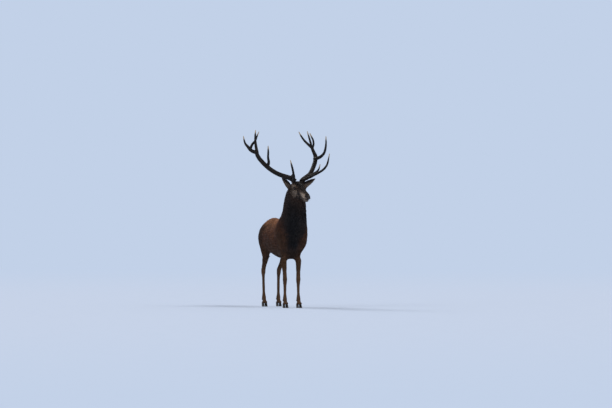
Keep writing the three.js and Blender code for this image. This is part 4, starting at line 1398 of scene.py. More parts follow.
@dataclass
class Coat:
    """Thin overlapping tufts over the hide, following the way it lies."""

    hide: Hide
    surface: Surface
    share: float = 1.0
    patch_size: float = 0.003
    split_at: float = 0.16
    lowest: float = 0.050
    burr_clear: float = 0.027
    lock_size: float = 0.024
    bristle_half_width: float = 0.00018
    first_seed: int = 500
    areas: np.ndarray = field(init=False, repr=False)
    patches: tuple[CoatPatch, ...] = (
        CoatPatch("coat_face", "face_coat", (Part.HEAD, Part.EAR), 48000, spike=SHORT_TUFT),
        CoatPatch("mane_left", "mane", (Part.NECK,), 23500, Side.LEFT, mane=True),
        CoatPatch("mane_right", "mane", (Part.NECK,), 23500, Side.RIGHT, mane=True),
        CoatPatch("coat_fore_left", "coat", (Part.TRUNK,), 22500, Side.LEFT, False),
        CoatPatch("coat_fore_right", "coat", (Part.TRUNK,), 22500, Side.RIGHT, False),
        CoatPatch("coat_rear_left", "coat", (Part.TRUNK, Part.TAIL), 23500, Side.LEFT, True),
        CoatPatch("coat_rear_right", "coat", (Part.TRUNK, Part.TAIL), 23500, Side.RIGHT, True),
        CoatPatch("coat_legs", "coat", (Part.LEG,), 48000, spike=SHORT_TUFT),
    )

    def build(self, finish: CoatFinish) -> None:
        """Makes every piece of the coat.

        Args:
            finish: The coat's finish.
        """
        surface = self.surface
        material = finish.material("coat_tufts", False)
        corners = surface.points[surface.triangles]
        edges = corners[:, 1:] - corners[:, :1]
        self.areas = np.linalg.norm(np.cross(edges[:, 0], edges[:, 1]), axis=1)
        centres = corners.mean(axis=1)
        order = np.stack([self.hide.weights[part][surface.triangles].mean(axis=1) for part in Part])
        owner = np.argmax(order, axis=0)
        bare = self.bare(centres)
        mane_front = (centres[:, 1] < -0.30 + 0.25 * (centres[:, 2] - 1.0)) & (centres[:, 2] > 0.80)
        for number, patch in enumerate(self.patches):
            chosen = np.isin(owner, [list(Part).index(part) for part in patch.parts])
            if patch.mane:
                chosen |= mane_front & (owner == list(Part).index(Part.TRUNK))
            elif Part.TRUNK in patch.parts:
                chosen &= ~mane_front
            if patch.side:
                chosen &= (centres[:, 0] - MID_X) * patch.side.value > 0
            if patch.rear is not None:
                chosen &= (centres[:, 1] > self.split_at) == patch.rear
            self.patch(patch, chosen & ~bare, np.random.default_rng(self.first_seed + number), material)
        self.lashes(centres, material)
        self.whiskers(centres, material)

    def lashes(self, centres: np.ndarray, material: bpy.types.Material) -> None:
        """Sets the lashes along the lids.

        Args:
            centres: Each face's middle.
            material: Their material.
        """
        points = self.surface.points
        chosen = np.zeros(len(centres), bool)
        way, curl = np.zeros(points.shape), np.zeros(points.shape)
        for side in Side:
            eye = EyeShape(side)
            along, rise, gaze = eye.axes
            x, y, z = eye.view(centres)
            edge = eye.beyond(x, y)
            chosen |= (edge > 0.0003) & (edge < 0.0017) & (y > 0.001) & (z > 0.004)
            offset = points - eye.centre
            near = (np.linalg.norm(offset, axis=1) < 0.04)[:, None]
            fan = ((offset @ along) / eye.half_length)[:, None]
            way += near * (gaze + 0.40 * rise + 0.45 * fan * along)
            curl += near * rise
        self.bristles(LASHES, chosen, way, curl, 0.0125, material)

    def whiskers(self, centres: np.ndarray, material: bpy.types.Material) -> None:
        """Sets the whiskers on the lips and chin.

        Args:
            centres: Each face's middle.
            material: Their material.
        """
        local = HEAD.local(centres)
        mouth = above_mouth(local)
        chosen = (local[:, 1] > 0.235) & (mouth < 0.024) & (mouth > -0.045) & (np.abs(mouth) > 0.004)
        chosen &= (NosePad.share(local) > 1.25) | (local[:, 1] < 0.30)
        forward = HEAD.turn((0, 0.5, -0.25))
        points = self.surface.points
        curl = np.tile(-UP, (len(points), 1))
        self.bristles(WHISKERS, chosen, self.surface.normals() + forward, curl, 0.023, material)

    def bare(self, centres: np.ndarray) -> np.ndarray:
        """Faces where no tuft grows: the eye openings, the nose pad, under the burrs and under the feet.

        Args:
            centres: Each face's middle.

        Returns:
            True for each bare face.
        """
        bare = centres[:, 2] < self.lowest
        for side in Side:
            eye = EyeShape(side)
            x, y, z = eye.view(centres)
            bare |= (eye.beyond(x, y) < 0.0022) & (z > -0.005)
            bare |= np.linalg.norm(centres - Antler(side).base, axis=1) < self.burr_clear
        local = HEAD.local(centres)
        ahead = local[:, 1] > 0.28
        for side in Side:
            bare |= (Nostril(side).closeness(local) < 1.4) & ahead
        bare |= np.abs(above_mouth(local)) < 0.0016
        return bare | ((NosePad.share(local) < 0.97) & ahead)

    def patch(self, patch: CoatPatch, chosen: np.ndarray, draw: np.random.Generator,
              material: bpy.types.Material) -> None:
        """Makes one piece of the coat.

        Args:
            patch: Which piece.
            chosen: The faces that it stands on.
            draw: The source of its random numbers.
            material: Its material.
        """
        surface, hide = self.surface, self.hide
        faces = np.nonzero(chosen)[0]
        lengths = hide.lengths[surface.triangles[faces]].mean(axis=1)
        count = int(patch.tufts * self.share)
        at = self.scatter(faces, self.areas[faces] / np.clip(lengths, 0.008, 0.05) ** 0.8, count, draw)
        roots = at(surface.points)
        normals = unit(at(surface.normals()))
        lie = at(hide.lie)
        lie = unit(lie - normals * np.sum(lie * normals, axis=1, keepdims=True))
        points, lock = self.bend(patch.spike, roots, normals, lie, at(hide.lengths), draw)
        markings = {}
        for name, values in hide.masks.items():
            rows = np.clip(at(values), 0, 1)
            markings[name] = np.clip(rows + 2.2 * (draw.random(rows.shape) - 0.5) * rows * (1 - rows), 0, 1)
        self.lay_down(patch, points, roots, markings, np.stack([draw.random(count), lock], axis=1), material)

    def bristles(self, patch: CoatPatch, chosen: np.ndarray, way: np.ndarray, curl: np.ndarray, size: float,
                 material: bpy.types.Material) -> None:
        """Makes a piece of single stiff hairs, such as lashes.

        Args:
            patch: Which piece.
            chosen: The faces that they stand on.
            way: Where they point, at each point of the hide.
            curl: Which way their tips turn, at each point of the hide.
            size: Their length.
            material: Their material.
        """
        draw = np.random.default_rng(patch.tufts)
        faces = np.nonzero(chosen)[0]
        at = self.scatter(faces, self.areas[faces], patch.tufts, draw)
        roots, normals = at(self.surface.points), unit(at(self.surface.normals()))
        aim = unit(at(way) + 0.16 * draw.normal(size=roots.shape))
        long = (size * (0.6 + 0.5 * draw.random(patch.tufts)))[:, None]
        side = unit(np.cross(normals, aim)) * self.bristle_half_width
        waist = roots + aim * long * 0.55 + at(curl) * long * 0.08
        tip = roots + aim * long + at(curl) * long * 0.34
        roots = roots - aim * 0.0008
        points = np.stack([roots - side, roots + side, waist - side * 0.7, waist + side * 0.7,
                           waist + normals * 0.0004, tip], axis=1)
        dark = np.tile((1.0, 0.0, 1.0), (patch.tufts, 1))
        markings = {name: dark if name == "region_c" else dark * 0 for name in self.hide.masks}
        self.lay_down(patch, points, roots, markings, draw.random((patch.tufts, 2)) * 0.5, material)

    def scatter(self, faces: np.ndarray, weight: np.ndarray, count: int,
                draw: np.random.Generator) -> Callable[[np.ndarray], np.ndarray]:
        """Spreads roots over some faces.

        Args:
            faces: The faces.
            weight: How many roots each draws.
            count: How many roots there are.
            draw: The source of random numbers.

        Returns:
            What turns the hide's values into values at each root.
        """
        marks = (np.arange(count) + draw.random(count)) / count
        total = np.cumsum(weight)
        picks = faces[np.minimum(np.searchsorted(total / total[-1], marks), len(faces) - 1)]
        a, b = draw.random(count), draw.random(count)
        flip = a + b > 1
        a, b = np.where(flip, 1 - a, a), np.where(flip, 1 - b, b)
        shares = np.stack([1 - a - b, a, b], axis=1)
        corners = self.surface.triangles[picks]
        return lambda values: np.einsum("ij,ij...->i...", shares, values[corners])

    def lay_down(self, patch: CoatPatch, points: np.ndarray, roots: np.ndarray,
                 markings: dict[str, np.ndarray], own: np.ndarray, material: bpy.types.Material) -> None:
        """Finishes one piece of the coat.

        Args:
            patch: Which piece.
            points: Each tuft's points.
            roots: The tufts' roots.
            markings: The regions' masks at each root.
            own: A number of each tuft's own and one that its lock shares.
            material: The piece's material.
        """
        mesh = self.mesh(patch.name, patch.spike, points)
        repeat = points.shape[1]
        store_rows(mesh, "place", np.repeat(roots, repeat, axis=0))
        for name, rows in markings.items():
            store_rows(mesh, name, np.repeat(rows, repeat, axis=0))
        along = np.tile(np.array(patch.spike.along), len(roots))
        store_rows(mesh, "strand", np.concatenate([along[:, None], np.repeat(own, repeat, axis=0)], axis=1))
        self.lay_flat(mesh, patch, roots)
        piece = bpy.data.objects.new(patch.name, mesh)
        bpy.context.collection.objects.link(piece)
        hand_over(piece, material, smooth=False)

    def bend(self, spike: Spike, roots: np.ndarray, normals: np.ndarray, lie: np.ndarray, length: np.ndarray,
             draw: np.random.Generator) -> tuple[np.ndarray, np.ndarray]:
        """Places the points of each tuft.

        Args:
            spike: How its points are joined.
            roots: Where the tufts stand.
            normals: The skin's outward directions there.
            lie: The way the coat lies there.
            length: The coat's length there.
            draw: The source of random numbers.

        Returns:
            The tufts' points, and a number from 0 to 1 that a lock's tufts share.
        """
        count = len(roots)
        size = np.clip(length * 0.75, 0.008, 0.034)
        stray = np.stack([lumps(roots, 0.02, 31 + i) for i in range(3)], axis=1)
        cell = np.floor((roots + 0.4 * size[:, None] * stray) / self.lock_size).astype(np.int64)
        lock = cell_random(cell, 40)
        middle = (cell + np.stack([cell_random(cell, 41 + i) for i in range(3)], axis=1)) * self.lock_size
        yaw = 0.20 * (draw.random(count) - 0.5) + 0.20 * lumps(roots, 0.05, 35) + 0.25 * (lock - 0.5)
        across = np.cross(normals, lie)
        way = unit(lie * np.cos(yaw)[:, None] + across * np.sin(yaw)[:, None])
        across = np.cross(normals, way)
        long = length * (0.72 + 0.5 * draw.random(count)) * (0.88 + 0.24 * lock)
        lift = 0.25 - 0.13 * smoothstep(0.016, 0.008, length)
        high = lift * length * (0.55 + 0.65 * draw.random(count)) * (0.8 + 0.45 * lock)
        width = np.clip(0.055 * length + 0.0007, 0.0010, 0.0034) * (0.8 + 0.5 * draw.random(count))
        gather = middle - roots
        gather -= normals * np.sum(gather * normals, axis=1, keepdims=True)
        gather -= way * np.sum(gather * way, axis=1, keepdims=True)
        gather *= np.clip(length / 0.05, 0.1, 0.5)[:, None]
        sunk = np.clip(0.05 * length, 0.0003, 0.0012)

        def station(share: float, wide: float, raise_by: float) -> tuple[np.ndarray, np.ndarray, np.ndarray]:
            """Measures every tuft at one place along it.

            Args:
                share: How far along, from 0 to 1.
                wide: The width there as a share of the tuft's own.
                raise_by: The height there as a share of the tuft's own.

            Returns:
                The middle, half the width and half the thickness, as vectors.
            """
            centre = roots + way * (long * share)[:, None] + gather * share**1.4
            centre = centre + normals * (high * raise_by + sunk * (share - 1))[:, None]
            return centre, across * (width * wide / 2)[:, None], normals * (width * wide * 0.30)[:, None]

        tip, _, _ = station(1.0, 0.0, 1.0)
        if spike is SHORT_TUFT:
            root, side, _ = station(0.0, 1.0, 0.0)
            crest, _, rise = station(0.15, 1.0, 0.25)
            return np.stack([root - side, root + side, crest + rise * 1.4, tip], axis=1), lock
        root, side, _ = station(0.0, 0.8, 0.0)
        waist, waist_side, waist_rise = station(0.5, 1.0, 0.72)
        rings = [root - side, root + side,
                 waist - waist_side, waist + waist_side, waist + waist_rise * 1.6, tip]
        return np.stack(rings, axis=1), lock

    def mesh(self, name: str, spike: Spike, points: np.ndarray) -> bpy.types.Mesh:
        """Joins the tufts' points into one mesh of closed spikes.

        Args:
            name: The mesh's name.
            spike: How each tuft's points are joined.
            points: Each tuft's points.

        Returns:
            The mesh.
        """
        count, repeat = points.shape[:2]
        corners = (np.array(spike.faces)[None] + (np.arange(count) * repeat)[:, None, None]).reshape(-1)
        mesh = bpy.data.meshes.new(name)
        mesh.vertices.add(count * repeat)
        mesh.vertices.foreach_set("co", points.astype(np.float32).ravel())
        mesh.loops.add(len(corners))
        mesh.loops.foreach_set("vertex_index", corners.astype(np.int32))
        mesh.polygons.add(len(corners) // 3)
        mesh.polygons.foreach_set("loop_start", np.arange(0, len(corners), 3, dtype=np.int32))
        mesh.update(calc_edges=True)
        return mesh

    def lay_flat(self, mesh: bpy.types.Mesh, patch: CoatPatch, roots: np.ndarray) -> None:
        """Gives each tuft a small square of the flat layout, at its root's place round the body.

        Args:
            mesh: The piece's mesh.
            patch: Which piece it is.
            roots: The tufts' roots.
        """
        if Part.HEAD in patch.parts:
            local = HEAD.local(roots)
            along = local[:, 1] + 0.3 * local[:, 2]
            turn = np.arctan2(local[:, 0], local[:, 2] + 0.11 + 0.36 * local[:, 1])
        elif patch.mane:
            along = roots[:, 2]
            turn = np.arctan2(roots[:, 0] - MID_X, -(roots[:, 1] + 0.27 + 0.3 * (roots[:, 2] - 1.2)))
        elif Part.LEG in patch.parts:
            along = roots[:, 2]
            leg = (roots[:, 0] > MID_X) * 1 + (roots[:, 1] > 0.2) * 2
            middles = np.array([roots[leg == i][:, :2].mean(axis=0) for i in range(4)])
            offset = roots[:, :2] - middles[leg]
            turn = np.arctan2(offset[:, 0], offset[:, 1]) / (2 * np.pi) * 0.96 + 0.5 + leg
        else:
            along = roots[:, 1]
            turn = np.arctan2(np.abs(roots[:, 0] - MID_X), roots[:, 2] - 0.92)
        flat = np.stack([turn, along], axis=1)
        flat = (flat - flat.min(axis=0)) / np.ptp(flat, axis=0)
        flat = 0.01 + flat * (0.98 - self.patch_size)
        spots = np.array(patch.spike.spots) * self.patch_size
        places = (flat[:, None, :] + spots[None]).reshape(-1, 2)
        layer = mesh.uv_layers.new(name="OFBake")
        corner = np.empty(len(mesh.loops), np.int32)
        mesh.loops.foreach_get("vertex_index", corner)
        layer.data.foreach_set("uv", places[corner].astype(np.float32).ravel())


# ---------------------------------------------------------------- antlers

@dataclass(frozen=True)
class AntlerFinish:
    """Stained bone, pale where the tines are rubbed."""

    hollow: tuple[int, int, int] = (9, 8, 8)
    ridge: tuple[int, int, int] = (36, 29, 25)
    tip: tuple[int, int, int] = (168, 150, 124)

    def material(self) -> bpy.types.Material:
        """The antlers' material."""
        material, bench, shader = start_material("antler_bone")
        ridge, tip, _ = bench.split(bench.rows("wear"))
        place = bench.object_place()
        grain = bench.noise(bench.rows("grain"), 1, 3, 0.6)
        stain = bench.noise(place, 14, 3)
        share = bench.total((ridge, 0.6), (grain, 0.5), (stain, 0.3))
        colour = bench.mix(bench.spread(share, 0.45, 1.0), linear(*self.hollow), linear(*self.ridge))
        rubbed = bench.spread(bench.sum("ADD", tip, bench.sum("MULTIPLY", grain, 0.25)), 0.35, 0.95)
        colour = bench.mix(rubbed, colour, linear(*self.tip))
        bench.feed(shader.inputs["Base Color"], colour)
        bench.feed(shader.inputs["Roughness"], bench.spread(rubbed, 0, 1, (0.62, 0.36)))
        bench.feed(shader.inputs["Normal"], bench.bump(grain, 0.5, 0.0012))
        shader.inputs["Specular IOR Level"].default_value = 0.18
        return material


@dataclass
class Antler:
    """One antler: beam, burr and tines in one piece."""

    side: Side
    voxel: float = 0.0028
    girth: float = 0.0024
    stretch: float = 0.012

    @property
    def base(self) -> np.ndarray:
        """The middle of the burr, where the antler stands on the skull."""
        return HEAD.place((0.060 * self.side.value, -0.002, -0.004))

    def build(self, finish: AntlerFinish) -> None:
        """Makes the antler from its CAD nodes.

        Args:
            finish: The antlers' finish.
        """
        prefix = f"antler_{self.side.label}_"
        nodes = [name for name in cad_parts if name.startswith(prefix)]
        sources = {name: Surface(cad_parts[name]).points for name in nodes}
        piece = even_copy(f"antler_{self.side.label}", nodes, self.voxel)
        surface = Surface(piece)
        surface.relax(22, 0.6)
        burr = sources[f"{prefix}beam_lower"].mean(axis=0)
        away = np.linalg.norm(surface.points - self.base, axis=1)
        tip, drawn = np.zeros(len(surface.points)), np.zeros((len(surface.points), 3))
        for name, points in sources.items():
            if "beam" in name:
                continue
            end = points[np.argmax(np.linalg.norm(points - burr, axis=1))]
            near = np.exp(-(np.linalg.norm(surface.points - end, axis=1) / 0.052) ** 2)
            tip = np.maximum(tip, near)
            drawn += near[:, None] * unit(end - points.mean(axis=0)) * self.stretch
        surface.points = surface.points + drawn
        grain = self.grain(surface.points, sources)
        collar = np.exp(-(away / 0.042) ** 2)
        surface.points = surface.soften(surface.points, 26, 0.6 * collar)
        low = smoothstep(0.34, 0.03, away)
        plain = 1 - 0.85 * tip
        furrow = lumps(grain * np.array([0.16, 1, 1]), 0.0068, 51)
        pearl = np.clip(lumps(surface.points, 0.0085, 52), 0, 1)
        knob = np.clip(lumps(surface.points, 0.013, 53) + 0.3, 0, 1) * np.exp(-(away / 0.030) ** 2)
        rise = 0.0013 * furrow * plain + 0.0036 * pearl * low * plain + 0.006 * knob + 0.003 * collar
        rise += self.girth * (1 - 0.25 * tip)
        surface.push(surface.soften(rise, 1))
        surface.write()
        ridge = np.clip(0.5 + 0.5 * furrow + pearl * low, 0, 1)
        surface.store("wear", np.stack([ridge, tip, low], axis=1))
        surface.store("grain", grain * np.array([28, 260, 260]))
        hand_over(piece, finish.material(), nodes)

    def grain(self, points: np.ndarray, sources: dict[str, np.ndarray]) -> np.ndarray:
        """Places along and across the nearest branch, so that furrows run with it.

        Args:
            points: The antler's points.
            sources: Each CAD branch's points.

        Returns:
            Along, and two across, in metres.
        """
        rows = np.zeros((len(points), 3))
        nearest = np.full(len(points), np.inf)
        for cloud in sources.values():
            middle = cloud.mean(axis=0)
            _, _, axes = np.linalg.svd(cloud - middle, full_matrices=False)
            step = max(len(cloud) // 40, 1)
            gap = np.min([np.sum((points - spot) ** 2, axis=1) for spot in cloud[::step]], axis=0)
            own = gap < nearest
            nearest = np.where(own, gap, nearest)
            rows[own] = (points[own] - middle) @ axes.T
        return rows


# ---------------------------------------------------------------- eyes, nose and hooves

@dataclass(frozen=True)
class EyeFinish:
    """A wet dark eye with a level oval pupil."""

    iris: tuple[int, int, int] = (50, 30, 18)
    rim: tuple[int, int, int] = (18, 12, 10)
    pupil: tuple[int, int, int] = (5, 6, 10)

    def material(self) -> bpy.types.Material:
        """The eyes' material."""
        material, bench, shader = start_material("wet_eye")
        across, rise, out = bench.split(bench.rows("gaze"))
        wide = bench.sum("POWER", bench.sum("DIVIDE", across, 0.50), 2)
        tall = bench.sum("POWER", bench.sum("DIVIDE", rise, 0.26), 2)
        pupil = bench.spread(bench.sum("ADD", wide, tall), 0.9, 1.15, (1, 0))
        ring = bench.spread(out, 0.62, 0.72, (1, 0))
        fibre = bench.noise(bench.rows("gaze"), 14, 4, 0.7)
        iris = bench.mix(fibre, linear(*self.iris), linear(*self.rim))
        colour = bench.mix(pupil, iris, linear(*self.pupil))
        colour = bench.mix(ring, colour, linear(*self.rim))
        bench.feed(shader.inputs["Base Color"], colour)
        shader.inputs["Roughness"].default_value = 0.07
        shader.inputs["Specular IOR Level"].default_value = 0.40
        return material


@dataclass
class Eye:
    """One eyeball with its raised clear front."""

    shape: EyeShape

    def build(self, finish: EyeFinish) -> None:
        """Makes the eyeball.

        Args:
            finish: The eyes' finish.
        """
        bpy.ops.object.select_all(action="DESELECT")
        bpy.ops.mesh.primitive_uv_sphere_add(segments=48, ring_count=32, radius=self.shape.radius,
                                             location=tuple(self.shape.centre))
        piece = active()
        piece.name = f"eyeball_{self.shape.side.label}"
        bpy.ops.object.transform_apply(location=True, rotation=True, scale=True)
        surface = Surface(piece)
        along, _, gaze = self.shape.axes
        level = unit(along * np.array([1, 1, 0.25]))
        offset = surface.points - self.shape.centre
        frontal = (offset @ gaze) / self.shape.radius
        surface.push(0.0007 * smoothstep(0.62, 0.86, frontal))
        surface.write()
        upright = np.cross(gaze, level)
        rows = np.stack([offset @ level, offset @ upright, offset @ gaze], axis=1) / self.shape.radius
        surface.store("gaze", rows)
        hand_over(piece, finish.material(), [f"eye_{self.shape.side.label}"])


@dataclass(frozen=True)
class NoseFinish:
    """Moist dark pebbled skin, with painted shade inside the nostrils."""

    skin: tuple[int, int, int] = (23, 18, 17)
    raised: tuple[int, int, int] = (44, 37, 34)
    # painted shade inside the nostrils
    nostril_shade: tuple[int, int, int] = (6, 5, 5)

    def material(self) -> bpy.types.Material:
        """The nose pad's material."""
        material, bench, shader = start_material("nose_skin")
        nostril_shade, _, _ = bench.split(bench.rows("nostril_shade"))
        cells = bench.add("ShaderNodeTexVoronoi", feature="SMOOTH_F1")
        bench.feed(cells.inputs["Vector"], bench.object_place())
        cells.inputs["Scale"].default_value = 420
        pebble = cells.outputs["Distance"]
        colour = bench.mix(bench.spread(pebble, 0.2, 0.8, (1, 0)), linear(*self.skin), linear(*self.raised))
        colour = bench.mix(nostril_shade, colour, linear(*self.nostril_shade))
        bench.feed(shader.inputs["Base Color"], colour)
        bench.feed(shader.inputs["Normal"], bench.bump(pebble, 0.5, -0.0008))
        bench.feed(shader.inputs["Roughness"], bench.spread(pebble, 0.2, 0.8, (0.34, 0.5)))
        shader.inputs["Specular IOR Level"].default_value = 0.35
        return material


@dataclass
class NosePad:
    """The bare skin between the nostrils and down to the upper lip, laid over the hide."""

    hide: Surface
    middle: tuple[float, float] = (0.0, -0.205)
    half_width: float = 0.0400
    above: float = 0.0220
    below: float = 0.0370
    rings: int = 44
    spokes: int = 120
    proud: float = 0.0012
    wall: float = 0.0040

    @classmethod
    def edge(cls, angle: np.ndarray) -> np.ndarray:
        """The pad's edge, wide above and narrow at the lip.

        Args:
            angle: Directions round the pad's middle, in radians from its left.

        Returns:
            The distance to the edge in each direction.
        """
        c, s = np.abs(np.cos(angle)), np.sin(angle)
        low = smoothstep(0.05, -0.85, s)
        across = cls.half_width * (1 - 0.62 * low)
        rise = np.where(s > 0, cls.above, cls.below)
        return ((c / across) ** 2.6 + (np.abs(s) / rise) ** 2.6) ** (-1 / 2.6)

    @classmethod
    def share(cls, local: np.ndarray) -> np.ndarray:
        """How far out towards the pad's edge each place lies: 1 on the edge."""
        x, y = local[:, 0] - cls.middle[0], local[:, 2] - cls.middle[1]
        return np.hypot(x, y) / cls.edge(np.arctan2(y, x))

    def outline(self) -> np.ndarray:
        """The pad's edge as places out and up from its middle."""
        angle = np.arange(self.spokes) / self.spokes * 2 * np.pi
        return self.edge(angle)[:, None] * np.stack([np.cos(angle), np.sin(angle)], axis=1)

    def build(self, finish: NoseFinish) -> None:
        """Makes the nose pad.

        Args:
            finish: The nose's finish.
        """
        local = HEAD.local(self.hide.points)
        front = local[self.hide.triangles].mean(axis=1)
        faces = self.hide.triangles[(front[:, 1] > 0.24) & (np.abs(front[:, 0]) < 0.07)]
        tree = BVHTree.FromPolygons(local.tolist(), faces.tolist())
        shares = np.linspace(0, 1, self.rings + 1)[1:]
        rims = np.array(self.middle) + shares[:, None, None] * self.outline()
        flat = np.concatenate([[self.middle], rims.reshape(-1, 2)])
        share = np.concatenate([[0], np.repeat(shares, self.spokes)])
        skin = np.empty((len(flat), 3))
        facing = np.empty((len(flat), 3))
        for row, (out, up) in enumerate(flat):
            hit, normal, _, _ = tree.ray_cast(Vector((out, 0.45, up)), Vector((0, -1, 0)))
            skin[row] = hit if hit else (out, 0.33, up)
            facing[row] = normal * math.copysign(1, normal.y) if hit else (0, 1, 0)
        rise = self.proud * (1 - smoothstep(0.62, 1.0, share) * 1.6)
        groove = np.exp(-(flat[:, 0] / 0.0016) ** 2) * smoothstep(-0.203, -0.220, flat[:, 1])
        outer = skin + unit(facing) * (rise - 0.0011 * groove)[:, None]
        inner = skin - np.array([0, self.wall, 0]) * (1 - 0.6 * share[:, None])
        mesh = self.mesh(outer, inner)
        piece = bpy.data.objects.new("nose_pad", mesh)
        bpy.context.collection.objects.link(piece)
        surface = Surface(piece)
        keep = surface.points.copy()
        surface.points = surface.soften(surface.points, 2, 0.4)
        surface.points[len(outer):] = keep[len(outer):]
        rows = surface.points
        # painted shade inside the nostrils, darkest at their middles
        nostril_shade = np.max([smoothstep(1.25, 0.85, Nostril(side).closeness(rows)) for side in Side], axis=0)
        surface.store("nostril_shade", np.stack([nostril_shade, nostril_shade, nostril_shade], axis=1))
        surface.points = HEAD.origin + rows[:, :1] * HEAD.out + rows[:, 1:2] * HEAD.ahead + rows[:, 2:] * UP
        surface.write()
        edit(piece, lambda: bpy.ops.mesh.normals_make_consistent(inside=False))
        hand_over(piece, finish.material())

    def mesh(self, outer: np.ndarray, inner: np.ndarray) -> bpy.types.Mesh:
        """Joins the pad's two faces into a closed shell.

        Args:
            outer: Its outer points: the middle, then ring by ring.
            inner: Its inner points in the same order.

        Returns:
            The mesh.
        """
        count, faces = len(outer), []
        for k in range(self.spokes):
            after = (k + 1) % self.spokes
            for base, flip in ((0, False), (count, True)):
                strip = [(base, base + 1 + k, base + 1 + after)]
                for ring in range(self.rings - 1):
                    near, far = base + 1 + ring * self.spokes, base + 1 + (ring + 1) * self.spokes
                    strip.append((near + k, far + k, far + after, near + after))
                faces.extend(tuple(reversed(face)) if flip else face for face in strip)
            edge = 1 + (self.rings - 1) * self.spokes
            faces.append((edge + after, edge + k, count + edge + k, count + edge + after))
        mesh = bpy.data.meshes.new("nose_pad")
        mesh.from_pydata(np.concatenate([outer, inner]).tolist(), [], faces)
        return mesh


@dataclass(frozen=True)
class HoofFinish:
    """Dark horn with growth rings."""

    horn: tuple[int, int, int] = (30, 27, 26)
    worn: tuple[int, int, int] = (78, 70, 62)

    def material(self) -> bpy.types.Material:
        """The hooves' material."""
        material, bench, shader = start_material("hoof_horn")
        place = bench.object_place()
        rings = bench.noise(bench.stretch(place, (18, 18, 260)), 1, 2)
        dust = bench.noise(place, 60, 3)
        _, _, height = bench.split(place)
        low = bench.spread(height, 0.0, 0.03, (0.75, 0.1))
        share = bench.sum("MULTIPLY", bench.sum("ADD", rings, low), dust)
        bench.feed(shader.inputs["Base Color"],
                   bench.mix(bench.spread(share, 0.3, 0.9), linear(*self.horn), linear(*self.worn)))
        bench.feed(shader.inputs["Roughness"], bench.spread(dust, 0.3, 0.7, (0.42, 0.66)))
        bench.feed(shader.inputs["Normal"], bench.bump(rings, 0.5, 0.0008))
        return material


@dataclass
class Foot:
    """The two claws and two dewclaws of one leg."""

    leg: str
    voxel: float = 0.0024

    def build(self, material: bpy.types.Material) -> None:
        """Makes the foot's horn.

        Args:
            material: The hooves' material.
        """
        for kind in ("claw", "dewclaw"):
            for place in ("inner", "outer"):
                node = f"{self.leg}_{kind}_{place}"
                surface = Surface(even_copy(f"hoof_{node}", [node], self.voxel))
                floor = surface.points[:, 2] < 0.0015
                surface.relax(7, 0.5)
                if kind == "claw":
                    height = surface.points[:, 2]
                    surface.points[:, 2] = np.where(floor, np.minimum(height, 0.0002), height)
                    rings = 0.0003 * np.sin(surface.points[:, 2] * 1100 + 2 * lumps(surface.points, 0.03, 61))
                    surface.push(rings * smoothstep(0.004, 0.012, surface.points[:, 2]))
                    top = smoothstep(0.040, 0.052, surface.points[:, 2])
                    surface.points[:, 2] += 0.007 * top
                    surface.points[:, 2] = np.maximum(surface.points[:, 2], 0.0)
                surface.write()
                hand_over(surface.piece, material, [node])


# ---------------------------------------------------------------- studio

@dataclass(frozen=True)
class Lamp:
    """A distant lamp: its tilt, turn and softness in degrees, and its strength."""

    name: str
    tilt: float
    turn: float
    strength: float
    softness: float


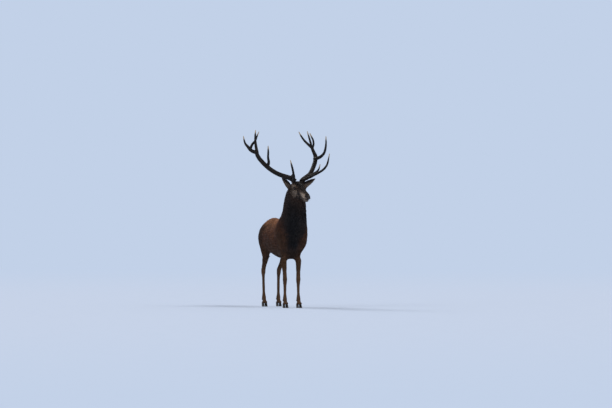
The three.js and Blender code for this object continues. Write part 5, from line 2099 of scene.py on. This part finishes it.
@dataclass
class Studio:
    """A pale floor, soft lights and the camera."""

    distance: float = 60.0
    lens: float = 268.2
    height: float = 1.368
    sideways: float = 0.180
    azimuth: float = -17.0
    shoulder_behind_breast: float = 0.2085
    reach: float = 75.0
    backdrop: tuple[int, int, int] = (194, 209, 232)
    floor_dark: tuple[int, int, int] = (186, 198, 218)
    floor_light: tuple[int, int, int] = (191, 202, 221)
    sky: tuple[float, float, float, float] = (0.49, 0.495, 0.51, 1)
    reflected_sky: tuple[float, float, float, float] = (0.18, 0.185, 0.20, 1)
    haze_from: float = 5.0
    lamps: tuple[Lamp, ...] = (
        Lamp("key", 46, 34, 1.2, 18),
        Lamp("fill", 64, -62, 0.6, 40),
        Lamp("rim", 50, 205, 1.45, 25),
    )

    def build(self) -> None:
        """Makes the studio."""
        self.floor()
        self.lights()
        self.camera()

    def floor(self) -> None:
        """Lays the floor."""
        bpy.ops.object.select_all(action="DESELECT")
        bpy.ops.mesh.primitive_circle_add(vertices=128, radius=self.reach, fill_type="NGON")
        piece = active()
        piece.name = "studio_floor"
        bpy.ops.object.transform_apply(location=True, rotation=True, scale=True)
        material, bench, shader = start_material("pale_floor")
        place = bench.object_place()
        grain = bench.noise(place, 3, 3)
        colour = bench.mix(grain, linear(*self.floor_dark), linear(*self.floor_light))
        bench.feed(shader.inputs["Base Color"], colour)
        shader.inputs["Roughness"].default_value = 0.9
        shader.inputs["Specular IOR Level"].default_value = 0.1
        away = bench.add("ShaderNodeVectorMath", operation="LENGTH")
        bench.feed(away.inputs[0], place)
        haze = bench.add("ShaderNodeEmission")
        haze.inputs["Color"].default_value = linear(*self.backdrop)
        blend = bench.add("ShaderNodeMixShader")
        bench.feed(blend.inputs[0], bench.spread(away.outputs["Value"], self.haze_from, self.reach * 0.5))
        bench.feed(blend.inputs[1], shader.outputs[0])
        bench.feed(blend.inputs[2], haze.outputs[0])
        bench.feed(material.node_tree.nodes["Material Output"].inputs[0], blend.outputs[0])
        piece.data.materials.append(material)

    def lights(self) -> None:
        """Sets the world and the lamps."""
        world = bpy.data.worlds.new("studio")
        bpy.context.scene.world = world
        world.use_nodes = True
        bench = Bench(world.node_tree)
        back = world.node_tree.nodes["Background"]
        path = bench.add("ShaderNodeLightPath")
        glossy = bench.mix(path.outputs["Is Glossy Ray"], self.sky, self.reflected_sky)
        shade = bench.mix(path.outputs["Is Camera Ray"], glossy, linear(*self.backdrop))
        bench.feed(back.inputs["Color"], shade)
        for lamp in self.lamps:
            light = bpy.data.lights.new(lamp.name, "SUN")
            light.energy = lamp.strength
            light.angle = math.radians(lamp.softness)
            piece = bpy.data.objects.new(lamp.name, light)
            piece.rotation_euler = (math.radians(lamp.tilt), 0, math.radians(lamp.turn))
            bpy.context.collection.objects.link(piece)

    def camera(self) -> None:
        """Sets the camera."""
        turn = math.radians(self.azimuth)
        right = np.array([math.cos(turn), math.sin(turn), 0])
        ahead = np.array([-math.sin(turn), math.cos(turn), 0])
        shoulder = np.array([MID_X, float(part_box("trunk")[0][1]) + self.shoulder_behind_breast, 0])
        aim = shoulder + right * self.sideways + UP * self.height
        lens = bpy.data.cameras.new("camera")
        lens.lens = self.lens
        lens.sensor_width = 36
        lens.clip_end = 500
        camera = bpy.data.objects.new("camera", lens)
        camera.location = tuple(aim - ahead * self.distance)
        camera.rotation_euler = Vector(ahead).to_track_quat("-Z", "Y").to_euler()
        bpy.context.collection.objects.link(camera)
        bpy.context.scene.camera = camera
        bpy.context.scene.view_settings.view_transform = "Standard"


def main() -> None:
    """Builds the stag and its studio."""
    logging.basicConfig(level=logging.INFO, format="%(name)s %(message)s")
    Studio().build()
    finish = CoatFinish()
    hide = Hide()
    surface = hide.build()
    hide.dress(surface, finish)
    Coat(hide, surface).build(finish)
    for side in Side:
        Antler(side).build(AntlerFinish())
        Eye(EyeShape(side)).build(EyeFinish())
    NosePad(surface).build(NoseFinish())
    horn = HoofFinish().material()
    for leg in Part.LEG.value:
        Foot(leg).build(horn)


if __name__ == "__main__":
    main()
